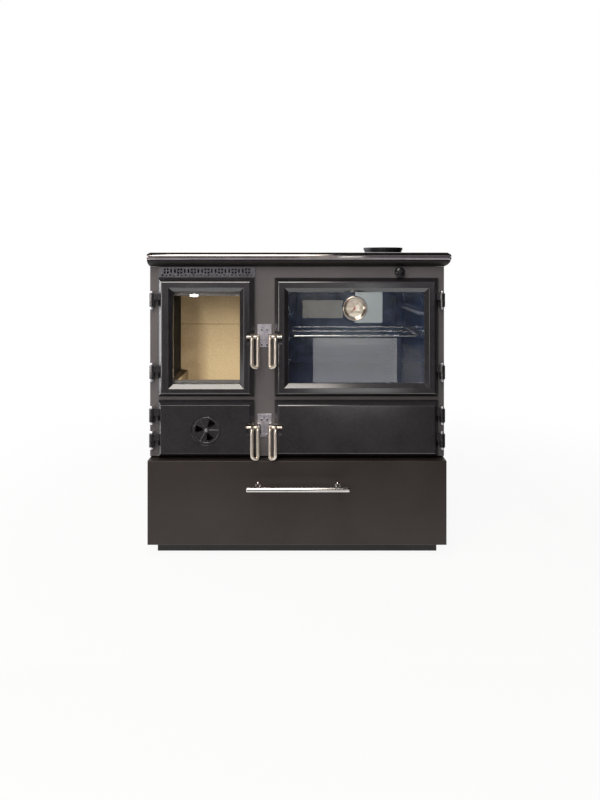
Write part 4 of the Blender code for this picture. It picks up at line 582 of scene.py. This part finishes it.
BACK_SCREWS = [(x, z) for x in (-0.406, 0.406) for z in (0.075, 0.315, 0.555, 0.795)]
BACK_SCREWS += [(x, z) for x in (-0.136, 0.136) for z in (0.059, 0.811)]
head = [(0, 0.9), (1.3, 0.9), (1.5, 1.9), (2.4, 1.8), (3.4, 1.2), (3.9, 0.4), (3.9, -0.2)]
washer = [(3.6, -0.2), (3.6, 0.5), (5.4, 0.5), (5.7, 0.2), (5.7, -0.2)]
for i, (x, z) in enumerate(BACK_SCREWS):
    lathed(f"back_screw_head_{i}", head, (x, BACK_Y, z), "back", galvanised, "body_paint", "stove_body", steps=24)
    lathed(f"back_screw_washer_{i}", washer, (x, BACK_Y, z), "back", galvanised, "body_paint", "stove_body", steps=6)

# Cornice: the upper part of a quarter round, which swells out under the trim

# Its left, right and front edges, each at the bottom and at the top
CORNICE_EDGES = ((-0.420, -0.422), (0.420, 0.432), (-0.230, -0.265))
CORNICE_Z = (0.8202, 0.8397)
CORNICE_START = math.radians(40)


def make_cornice(steps=24):
    """The cornice as a stack of rectangles that grow as the round turns upright."""
    bm = bmesh.new()
    rows = []
    for i in range(steps + 1):
        turn = CORNICE_START + (math.pi / 2 - CORNICE_START) * i / steps
        out = (math.sin(turn) - math.sin(CORNICE_START)) / (1 - math.sin(CORNICE_START))
        drop = math.cos(turn) / math.cos(CORNICE_START)
        left, right, near = (low + (high - low) * out for low, high in CORNICE_EDGES)
        z = CORNICE_Z[1] - (CORNICE_Z[1] - CORNICE_Z[0]) * drop
        corners = ((left, near), (right, near), (right, BACK_Y), (left, BACK_Y))
        rows.append([bm.verts.new((px, py, z)) for px, py in corners])
    banded(bm, rows)
    bm.faces.new(rows[0])
    bm.faces.new(rows[-1])
    mesh = mesh_from("cornice_quarter_round", bm)
    piece("cornice_quarter_round", mesh, stove_black, "black_paint", "stove_body", "cornice_moulding")


make_cornice()

# Polished trim: a rolled bead above a flat band, with a fine groove between them

TRIM_X = (-0.425, 0.435)
TRIM_Y = (-0.268, BACK_Y)
TRIM_FOOT_Z = 0.840
TRIM_WIDTH = 22
# Only the faces along the side rails have their middle between these
SIDE_RAIL_Y = (-0.1, 0.2)
trim_profile = [(0.9, 0.0), (0.3, 0.6), (0.3, 4.9), (0.8, 5.4), (3.2, 7.9)] + quarter(7.0, 188, 120, (7.2, 9.0), 17)
trim_profile += [(9.0, 18.6), (12.5, 20.0), (TRIM_WIDTH - 1.0, 20.0), (TRIM_WIDTH, 19.0), (TRIM_WIDTH, 0.0)]
trim = swept_rim(
    "trim_moulding", TRIM_X, TRIM_Y, [(inset * MM, TRIM_FOOT_Z + z * MM) for inset, z in trim_profile], 6 * MM,
    stainless, "polished_steel", "stove_body", "top_trim_frame",
)
faces_take(trim, stainless_rail, lambda c: SIDE_RAIL_Y[0] < c.y < SIDE_RAIL_Y[1])

# Cooking plate, its ring and lid, and the flue collar

rounded("hob_plate", hob_iron, "hob_iron", "stove_body", 0.8)
ring = [(114.4, -0.8), (113.6, 0), (60.8, 0), (60.0, -0.8), (60.0, -4), (53, -4), (53, -7.7), (114.4, -7.7)]
lathed(
    "hob_ring_turned", ring, (FIRE_X, HOB_EYE_Y, HOB_TOP), "up", hob_iron, "hob_iron", "hob_ring_body", "hob_ring",
    steps=160, closed=True,
)
rounded("hob_lid", hob_iron, "hob_iron", "hob_lid_body", 0.7)
collar = [(59, 1), (59, 24.2), (59.8, 25), (65.2, 25), (66, 24.2), (66, 16.8), (65.2, 16), (64, 16)]
collar += quarter(1.0, 90, 180, (64, 15), 4) + quarter(4.0, 180, 270, (67, 9.3), 6)
collar += [(76.2, 5.3), (77, 4.5), (77, 0.3), (59.8, 0.3)]
lathed(
    "flue_collar_cast", collar, (FLUE_X, FLUE_Y, HOB_TOP), "up", collar_iron, "raw_iron", "stove_body", "flue_collar",
    steps=128, closed=True,
)
dressed("flue_duct", sooty_steel)
dressed("damper_plate", sooty_steel)

# Damper knob: a turned phenolic knob with a waist, pressed on the rod

KNOB_FOOT_Y = -0.236
knob = [(0, 24.0)]
knob += [(14.5 * math.sin(math.radians(a)), 16.75 + 7.25 * math.cos(math.radians(a))) for a in range(10, 91, 10)]
knob += quarter(2.5, 0, -60, (12.0, 13.0), 4) + [(9.2, 7.2), (7.9, 4.0), (7.5, 1.0), (7.2, 0.2), (4.4, 0)]
lathed(
    "damper_knob_turned", knob, (FLUE_X, KNOB_FOOT_Y, DAMPER_Z), "front", phenolic, "black_paint", "damper",
    "damper_knob", steps=64,
)

# Doors: castings with a chamfered rim, a flat hammered face and a bevelled window

DOOR_FACE_Y = -0.2598
# How wide the ridge round a door's face is, and what share of that the face's other edges and the rest take
RIDGE = 6.0
FACE_SHARE = 0.25
FINE_SHARE = 0.13
# The hinge knuckles lie farther from the stove's middle than this
KNUCKLES_X = 0.4015


def is_knuckle(centre):
    """Whether a face lies on a hinge knuckle, outside the door's own edge."""
    return abs(centre.x) > KNUCKLES_X


def ridge_share(middle):
    """The rim of a door's face is a broad round ridge that catches the light; its other edges are finer."""

    def share(line):
        if any(abs(vert.co.y - DOOR_FACE_Y) > 0.1 * MM for vert in line.verts):
            return FINE_SHARE
        outward = (line.verts[0].co + line.verts[1].co) / 2 - middle
        slope = min((face.normal for face in line.link_faces), key=lambda normal: abs(normal.y))
        chamfer = 0.2 < abs(slope.y) < 0.9
        return 1.0 if chamfer and outward.x * slope.x + outward.z * slope.z > 0 else FACE_SHARE

    return share


for door, node, x, z in (
    ("firebox", "firebox_door_frame", LEFT_DOORS_X, UPPER_DOORS_Z),
    ("oven", "oven_door_frame", RIGHT_DOORS_X, UPPER_DOORS_Z),
    ("ash", "ash_door_panel", LEFT_DOORS_X, LOWER_DOORS_Z),
    ("soot", "soot_door_panel", RIGHT_DOORS_X, LOWER_DOORS_Z),
):
    body = door + "_door"
    share_at = ridge_share(Vector((x, 0, z)))
    casting = rounded(node, hammered_charcoal, "door_paint", body, RIDGE, 4, 20, share_at)
    faces_take(casting, knuckle_black, is_knuckle)
    rounded(door + "_door_seal", fibre_rope, "rope_seal", body, 2.0, 3)
for door in ("firebox", "oven"):
    dressed(door + "_door_glass", door_glass)
    rounded(door + "_door_glass_retainer", stove_black, "zinc_sheet", door + "_door", 0.4)

# Hinge pins: a turned shaft that ends above and below in a domed cap nut

cap = [(0, 27.3)] + quarter(5.2, 80, 20, (0, 22.1), 6) + [(5.2, 21.6), (5.2, 20.4), (4.7, 19.3), (4.0, 19.3)]
pin = cap + [(radius, -height) for radius, height in reversed(cap)]
for door, x, seams in (
    ("firebox", -HINGE_X, UPPER_SEAMS),
    ("oven", HINGE_X, UPPER_SEAMS),
    ("ash", -HINGE_X, LOWER_SEAMS),
    ("soot", HINGE_X, LOWER_SEAMS),
):
    for place, seam in zip(("upper", "lower"), seams):
        lathed(
            f"{door}_hinge_pin_{place}_turned", pin, (x, HINGE_Y, seam), "up", keeper_zinc, "chrome", "stove_body",
            f"{door}_door_hinge_pin_{place}", steps=40,
        )

# Latches: an axle through the door's edge, bent into a long loop handle, with a finger behind the keeper

LATCH_ROD = 4.8


def make_latch(door, side, edge, axle_z):
    """One latch; the side is 1 where it reaches to the right past the door's edge, and -1 to the left."""

    def at(out, reach, drop):
        """A point so many millimetres out past the door's edge, to the front and down from the axle."""
        return (edge + side * out * MM, AXLE_Y - reach * MM, axle_z - drop * MM)

    node = door + "_door_latch"
    body = door + "_latch"
    corners = [at(-4, 0, 0), at(-4, 31, 0), at(-4, 31, 79.8), at(12, 19, 84.8), at(12, 19, 0), at(12, 0, 0)]
    path = bent(corners, (11, 11, 8, 8), 10)
    rod_along(door + "_latch_loop", path, LATCH_ROD, handle_chrome, "chrome", body, node, facets=8)
    axle = [(0, 16.2), (4.0, 16.2), (LATCH_ROD, 15.4), (LATCH_ROD, -28.1), (4.0, -28.9), (0, -28.9)]
    lathed(
        door + "_latch_axle", [(radius, side * along) for radius, along in axle], at(0, 0, 0), "right", handle_chrome,
        "chrome", body, node, steps=40,
    )
    x, y, z = (sorted(pair) for pair in zip(at(9, 0, 4), at(15, -9, -4)))
    rounded_block(door + "_latch_finger", x, y, z, 1.0, chrome, "chrome", body, node)


make_latch("firebox", 1, LEFT_DOOR_EDGE, UPPER_AXLE_Z)
make_latch("oven", -1, RIGHT_DOOR_EDGE, UPPER_AXLE_Z)
make_latch("ash", 1, LEFT_DOOR_EDGE, LOWER_AXLE_Z)
make_latch("soot", -1, RIGHT_DOOR_EDGE, LOWER_AXLE_Z)

# Keepers on the column, each held by four screws, with a thin dark hexagon on each as painted shade for its socket

# Each socket is a thin dark hexagon disc standing just in front of the keeper, not a recess: painted shade for the
# socket's hollow
socket = [(0, 2.35), (2.3, 2.35), (2.7, 2.15), (2.7, 1.6), (0, 1.6)]
for keeper, axle_z in (("keeper_upper", UPPER_AXLE_Z), ("keeper_lower", LOWER_AXLE_Z)):
    rounded(keeper, keeper_zinc, "chrome", "stove_body", 0.8, 3)
    for side, x in (("left", -7.5), ("right", 7.5)):
        for row, z in (("upper", 19), ("lower", -24)):
            name = f"{keeper}_socket_{row}_{side}"
            spot = (COLUMN_X + x * MM, KEEPER_FACE_Y, axle_z + z * MM)
            lathed(name, socket, spot, "front", sooty_steel, "chrome", "stove_body", steps=6)

# Air rosette on the ash door: a cast bead near its rim, a rib between each two slots and a screw in its middle

BEAD_Y = -0.2579
BEAD_RADIUS = 35.6
RIB_START = 6.5
BEAD_ROUND = 1.1
SCREW_SEAT_Y = -0.2584


def on_rosette(radius, turn_deg):
    """A place on the rosette's face: millimetres from its middle, and degrees anticlockwise from the right."""
    turn = math.radians(turn_deg)
    return (ROSETTE_X + radius * MM * math.cos(turn), BEAD_Y, ROSETTE_Z + radius * MM * math.sin(turn))


rounded("air_rosette", hammered_charcoal, "door_paint", "rosette", 0.8)
rod_along(
    "rosette_bead", [on_rosette(BEAD_RADIUS, 5 * i) for i in range(72)], BEAD_ROUND, hammered_charcoal, "door_paint",
    "rosette", closed=True,
)
for i in range(3):
    rib = [on_rosette(RIB_START, 120 * i), on_rosette(BEAD_RADIUS, 120 * i)]
    rod_along(f"rosette_rib_{i}", rib, BEAD_ROUND, hammered_charcoal, "door_paint", "rosette")
screw = [(0, 3.0), (3.4, 2.9), (4.8, 2.2), (5.2, 1.2), (5.2, 0.0), (0, 0.0)]
lathed(
    "rosette_screw_head", screw, (ROSETTE_X, SCREW_SEAT_Y, ROSETTE_Z), "front", galvanised, "chrome", "ash_door",
    steps=32,
)
dressed("rosette_screw", sooty_steel)

# Firebox

rounded("firebox_shell", lamp_black, "raw_iron", "stove_body", 0.8)
for node in ("firebrick_back", "firebrick_left", "firebrick_right"):
    rounded(node, brick, "firebrick", "stove_body", 1.8, 2)
rounded("fire_grate", sooty_steel, "raw_iron", "stove_body", 1.2)
rounded("ash_pan", sooty_steel, "zinc_sheet", "stove_body", 0.3)

# Oven: enamelled box with beads pressed into its side walls and its back

OVEN_WALLS = (("left", -0.0275), ("right", 0.3645))
WALL_BEADS_Y = (-0.190, 0.175)
WALL_BEADS_Z = ((0.500, 0.540), (0.562, 0.604), (0.628, 0.669), (0.694, 0.738))
OVEN_BACK_Y = 0.205
BACK_BEAD_X = (-0.004, 0.341)
BACK_BEAD_Z = (0.512, 0.726)
BEAD_BEND = 14


def bead_loop(name, corners, radius):
    """A low bead pressed into the oven's sheet, as a round wire half sunk in it."""
    points = [Vector(corner) for corner in corners]
    start = (points[0] + points[1]) / 2
    path = bent([start, *points[1:], points[0], start], [BEAD_BEND] * 4, 8)[:-1]
    rod_along(name, path, radius, enamel, "oven_enamel", "stove_body", closed=True, facets=4)


rounded("oven_box", enamel, "oven_enamel", "stove_body", 0.6)
near, far = WALL_BEADS_Y
for side, x in OVEN_WALLS:
    for low, high in WALL_BEADS_Z:
        corners = [(x, near, low), (x, far, low), (x, far, high), (x, near, high)]
        bead_loop(f"oven_bead_{side}_{round(low / MM)}", corners, 1.6)
left, right = BACK_BEAD_X
low, high = BACK_BEAD_Z
corners = [(x, OVEN_BACK_Y, z) for x, z in ((left, low), (right, low), (right, high), (left, high))]
bead_loop("oven_bead_back", corners, 1.8)

# Oven rack: bars laid across a bent frame of thicker wire

RACK_X = (-0.0168, 0.3538)
RACK_Y = (-0.205, 0.095)
RACK_Z = 0.6192
RACK_CROSS_Y = -0.055
RACK_GAPS = 12
FRAME_WIRE = 2.7
CROSS_WIRE = 2.2
BAR_WIRE = 1.8
left, right = RACK_X
near, far = RACK_Y
middle = (left + right) / 2
rack_corners = [(middle, near), (right, near), (right, far), (left, far), (left, near), (middle, near)]
rack_path = bent([(x, y, RACK_Z) for x, y in rack_corners], (12, 12, 12, 12), 8)[:-1]
rod_along(
    "oven_rack_frame", rack_path, FRAME_WIRE, chrome_wire, "chrome", "stove_body", "oven_rack", closed=True, facets=6
)
cross = [(left, RACK_CROSS_Y, RACK_Z), (right, RACK_CROSS_Y, RACK_Z)]
rod_along("oven_rack_cross_wire", cross, CROSS_WIRE, chrome_wire, "chrome", "stove_body", "oven_rack")
for i in range(1, RACK_GAPS):
    x = left + (right - left) * i / RACK_GAPS
    rack_bar = [(x, y, RACK_Z + FRAME_WIRE * MM) for y in (near - BAR_WIRE * MM, far + BAR_WIRE * MM)]
    rod_along(f"oven_rack_bar_{i}", rack_bar, BAR_WIRE, chrome_wire, "chrome", "stove_body", "oven_rack")

# Thermometer: a chrome bezel round a printed dial, with a domed lens and a red needle

GAUGE_SEAT_Y = -0.2441
PRINT_Y = -0.25245
DIAL_START = -135
DIAL_SWEEP = 270
DIAL_TICKS = 50
DIAL_NUMBERS = 5
gauge_seat = (GAUGE_X, GAUGE_SEAT_Y, GAUGE_Z)
bezel = [(0, 7.0), (24.4, 7.0), (24.4, 8.3), (29.4, 10.4)] + quarter(2.6, 170, 0, (32.3, 10.4), 8)
bezel += [(35.0, 9.6), (35.0, 1.0), (34.2, 0), (0, 0)]
lathed("thermometer_bezel", bezel, gauge_seat, "front", chrome, "chrome", "oven_door", "thermometer_case", steps=96)
dressed("thermometer_dial", dial_tin)
dressed("thermometer_needle", needle_paint)
lens = [(0, 12.6), (10, 12.5), (20, 12.15), (26, 11.8), (29.9, 11.4), (29.9, 10.6), (20, 11.2), (10, 11.5), (0, 11.6)]
lathed("thermometer_lens", lens, gauge_seat, "front", lens_glass, "window_glass", "oven_door", steps=96)


def dial_point(turn_deg, radius, aside=0):
    """A place on the dial: degrees clockwise from straight up, and millimetres from the middle and sideways."""
    turn = math.radians(turn_deg)
    x = GAUGE_X + (radius * math.sin(turn) + aside * math.cos(turn)) * MM
    z = GAUGE_Z + (radius * math.cos(turn) - aside * math.sin(turn)) * MM
    return (x, PRINT_Y, z)


def make_dial_ticks():
    """Printed ticks from lower left to lower right, a long one at each hundred degrees."""
    bm = bmesh.new()
    outer = 23.8
    for i in range(DIAL_TICKS + 1):
        turn = DIAL_START + DIAL_SWEEP * i / DIAL_TICKS
        inner, half_width = (19.4, 0.5) if i % 10 == 0 else (21.4, 0.225)
        sides = ((inner, -half_width), (inner, half_width), (outer, half_width), (outer, -half_width))
        bm.faces.new([bm.verts.new(dial_point(turn, radius, aside)) for radius, aside in sides])
    piece("dial_ticks", mesh_from("dial_ticks", bm), dial_ink, "dial_face", "oven_door")


def printed(name, text, centre, size):
    """Flat printed figures that face the viewer, centred on a point; the size is in millimetres."""
    curve = bpy.data.curves.new(name, "FONT")
    curve.body = text
    curve.size = size * MM
    curve.align_x = "CENTER"
    curve.align_y = "CENTER"
    flat = mesh_of_curve(name, curve)
    for vert in flat.vertices:
        x, z, _ = vert.co
        vert.co = (centre[0] + x, centre[1], centre[2] + z)
    flat.name = name
    piece(name, flat, dial_ink, "dial_face", "oven_door")


make_dial_ticks()
for i in range(DIAL_NUMBERS + 1):
    turn_deg = DIAL_START + DIAL_SWEEP * i / DIAL_NUMBERS
    printed(f"dial_number_{i}", str(100 * i), dial_point(turn_deg, 15.4), 4.4)
printed("dial_unit", "°C", dial_point(0, 8.0), 4.6)

# Wood drawer and its bar handle

DRAWER_FACE_Y = -0.268
BAR_X = 0.0025
BAR_Y = -0.313
BAR_Z = 0.208
POST_OUT = 0.112
rounded("drawer_front", drawer_coat, "drawer_paint", "drawer", 1.0)
rounded("drawer_box", galvanised, "zinc_sheet", "drawer", 0.3)
bar_end = [(0, 142.0), (4.6, 142.0), (6.4, 141.3), (7.0, 139.8), (7.0, 138.6)]
bar = bar_end + [(radius, -along) for radius, along in reversed(bar_end)]
lathed(
    "drawer_bar", bar, (BAR_X, BAR_Y, BAR_Z), "right", stainless, "polished_steel", "drawer", "drawer_handle", steps=64
)
post = [(0, 45.0), (4.5, 45.0), (4.5, 3.6), (5.0, 3.2), (7.2, 3.0), (8.0, 2.2), (8.0, 0.3), (0, 0.3)]
for side, x in (("left", BAR_X - POST_OUT), ("right", BAR_X + POST_OUT)):
    lathed(
        f"drawer_bar_post_{side}", post, (x, DRAWER_FACE_Y, BAR_Z), "front", stainless, "polished_steel", "drawer",
        "drawer_handle", steps=48,
    )


# Studio: a pale floor under a white sky, a long soft box over the viewer's left shoulder, a rim light from behind
# the left side, a low fill from the left, lamps for the firebox and the oven, panels that mirror in the oven's
# glass, and cloths that keep the mirrors dark in front

CLOTH_X = (-4, 4)
CLOTH_FRONT_Y = -5.6
CLOTH_TOP_Z = 3.6
CARPET_BACK_Y = -0.8
CARPET_Z = 0.002
RIGHT_BACK_Y = 4.6
CLOTH = "#3a3635"
CARPET = "#3d3a3b"
# How far from the stove's middle the floor starts to turn white for the camera, and is all white
WHITE_REACH = (0.7, 2.2)


def studio_paint(name, colour, roughness, glow=0.0):
    """Matt studio paint with a faint roller texture; a cloth's may glow a little."""
    material, shader, place = blank_material(name)
    roller = add(material, "TexNoise", {"Vector": place, "Scale": per_mm(6), "Detail": 3.0})
    relief = add(material, "Bump", {"Height": roller.outputs["Fac"], "Distance": 0.1 * MM, "Strength": 0.3})
    feed(shader, {
        "Base Color": linear(colour),
        "Roughness": roughness,
        "Normal": relief.outputs["Normal"],
        "Emission Color": linear(colour),
        "Emission Strength": glow,
    })
    return material


def is_looked_at(owner):
    """1 for what the camera, mirrors and glass see, and 0 for the light that falls on the stove and the floor."""
    ray = add(owner, "LightPath")
    seen = add(owner, "Math", {0: ray.outputs["Is Camera Ray"], 1: ray.outputs["Is Glossy Ray"]}, operation="MAXIMUM")
    either = {0: seen.outputs["Value"], 1: ray.outputs["Is Transmission Ray"]}
    return add(owner, "Math", either, operation="MAXIMUM").outputs["Value"]


def whiten(material, share):
    """Lets the camera, mirrors and glass see this share of the paint as plain white, and the rest as lit.

    Farther than a metre or two from the stove all of it is white, so that the floor's edge isn't seen.
    """
    spot = add(material, "NewGeometry").outputs["Position"]
    off = add(material, "VectorMath", {0: spot}, operation="LENGTH").outputs["Value"]
    reach = {"Value": off, "From Min": WHITE_REACH[0], "From Max": WHITE_REACH[1], "To Min": share}
    near = add(material, "MapRange", reach, interpolation_type="SMOOTHSTEP")
    part = add(material, "Math", {0: is_looked_at(material), 1: near.outputs["Result"]}, operation="MULTIPLY")
    white = add(material, "Emission", {"Color": linear("#ffffff"), "Strength": 1.0})
    paint = material.node_tree.nodes["Principled BSDF"]
    both = {0: part.outputs["Value"], 1: paint.outputs["BSDF"], 2: white.outputs["Emission"]}
    blend = add(material, "MixShader", both)
    feed(material.node_tree.nodes["Material Output"], {"Surface": blend.outputs["Shader"]})


def level(x, y, z):
    """The corners of a level sheet."""
    return [(x[0], y[0], z), (x[1], y[0], z), (x[1], y[1], z), (x[0], y[1], z)]


def upright(start, end, top=CLOTH_TOP_Z):
    """The corners of an upright sheet that stands on the floor, from one (x, y) to the other."""
    return [(*start, 0.0), (*end, 0.0), (*end, top), (*start, top)]


def sheet(name, corners, material):
    """A flat piece of the studio, from its corners."""
    bm = bmesh.new()
    bm.faces.new([bm.verts.new(corner) for corner in corners])
    mesh = bpy.data.meshes.new(name)
    bm.to_mesh(mesh)
    bm.free()
    mesh.materials.append(material)
    obj = bpy.data.objects.new(name, mesh)
    bpy.context.scene.collection.objects.link(obj)
    return obj


def dark_cloth(name, colour, glow, corners, shadow=True):
    """A cloth that only mirrors and the light see, so that the picture's background stays white."""
    cloth = sheet(name, corners, studio_paint(name + "_cloth", colour, 0.9, glow))
    cloth.visible_camera = False
    cloth.visible_shadow = shadow


def soft_box(name, place, target, width, height, power, colour, shape="RECTANGLE", mirrored=True):
    """A flat lamp that faces a point."""
    lamp = bpy.data.lights.new(name, "AREA")
    lamp.shape = shape
    lamp.size = width
    lamp.size_y = height
    lamp.energy = power
    lamp.color = linear(colour)[:3]
    obj = bpy.data.objects.new(name, lamp)
    obj.location = place
    obj.rotation_euler = (Vector(target) - Vector(place)).to_track_quat("-Z", "Y").to_euler()
    obj.visible_camera = False
    obj.visible_glossy = mirrored
    bpy.context.scene.collection.objects.link(obj)


floor_paint = studio_paint("studio_floor_paint", "#f4f4f3", 0.65)
whiten(floor_paint, 0.93)
sheet("studio_floor", level((-6, 6), (-6, 5), 0), floor_paint)
left, right = CLOTH_X
front = CLOTH_FRONT_Y
dark_cloth("studio_skirt", CLOTH, 0.2, upright((left, front + 0.01), (right, front + 0.01), 0.62))
dark_cloth("studio_curtain", "#857f88", 1.3, upright((left, front), (right, front)))
dark_cloth("studio_ceiling", CLOTH, 0.0, level(CLOTH_X, (front, 3.5), CLOTH_TOP_Z))
dark_cloth("studio_left", CLOTH, 0.3, upright((left, front), (left, -0.4)))
dark_cloth("studio_right", CLOTH, 0.3, upright((right, front), (right, RIGHT_BACK_Y)))
dark_cloth("studio_carpet", CARPET, 0.3, level(CLOTH_X, (front, CARPET_BACK_Y), CARPET_Z), shadow=False)
dark_cloth(
    "studio_runner", CARPET, 0.3, level((0.8, right), (CARPET_BACK_Y, RIGHT_BACK_Y), CARPET_Z), shadow=False
)

soft_box("key_box", (-0.5, -1.95, 2.55), (-0.2, -0.2, 0.55), 1.3, 2.2, 50, "#fff8ef")
soft_box("rim_box", (-2.3, 0.9, 0.7), (-0.4, -0.2, 0.55), 1.6, 1.2, 26, "#fbfbff")
soft_box("fill_box", (-1.45, -1.9, 0.45), (-0.35, -0.29, 0.22), 0.8, 0.55, 7, "#fff6f2")
soft_box("fire_box", (-0.53, -3.7, 1.35), (-0.25, 0.1, 0.62), 0.5, 0.5, 22, "#fff8f0", mirrored=False)
soft_box("hearth_glow", (-0.262, -0.18, 0.452), (-0.25, 0.115, 0.60), 0.12, 0.03, 0.9, "#fff6ea", mirrored=False)
soft_box("oven_glow", (0.165, -0.205, 0.744), (0.165, 0.10, 0.60), 0.30, 0.02, 0.30, "#f4f8ff")
soft_box("glint_strip", (-0.88, -4.2, 0.567), (-0.26, -0.25, 0.66), 0.08, 0.03, 0.09, "#ffffff", "ELLIPSE")
soft_box("low_panel", (0.35, -2.64, 0.19), (0.35, 0, 0.19), 0.52, 0.36, 1.3, "#eeedec")
soft_box("upper_panel", (0.15, -2.64, 0.55), (0.15, 0, 0.55), 0.25, 0.11, 0.15, "#f2ead8")
soft_box("bright_panel", (0.435, -2.64, 0.56), (0.435, 0, 0.56), 0.17, 0.19, 0.4, "#eef6f2")

world = bpy.data.worlds.new("studio_world")
world.use_nodes = True
world.node_tree.nodes.clear()
bpy.context.scene.world = world
room = add(world, "Background", {"Color": linear("#ffffff"), "Strength": 0.35})
white = add(world, "Background", {"Color": linear("#ffffff"), "Strength": 1.0})
sky = add(world, "MixShader", {0: is_looked_at(world), 1: room.outputs["Background"], 2: white.outputs["Background"]})
add(world, "OutputWorld", {"Surface": sky.outputs["Shader"]})

# Camera: at the photograph's place, level, with the lens shifted down to frame the stove

SENSOR = 36.0
FOCAL_PIXELS = 713
PICTURE_PIXELS = 800
photo_lens = bpy.data.cameras.new("photo_camera")
photo_lens.sensor_fit = "AUTO"
photo_lens.sensor_width = SENSOR
photo_lens.lens = FOCAL_PIXELS / PICTURE_PIXELS * SENSOR
photo_lens.shift_y = -0.169
photo_lens.clip_start = 0.05
photo_lens.clip_end = 50.0
camera = bpy.data.objects.new("photo_camera", photo_lens)
camera.location = (0.0084, -2.268, 0.825)
camera.rotation_euler = (math.pi / 2, 0, 0)
bpy.context.scene.collection.objects.link(camera)
bpy.context.scene.camera = camera
bpy.context.scene.view_settings.view_transform = "Standard"
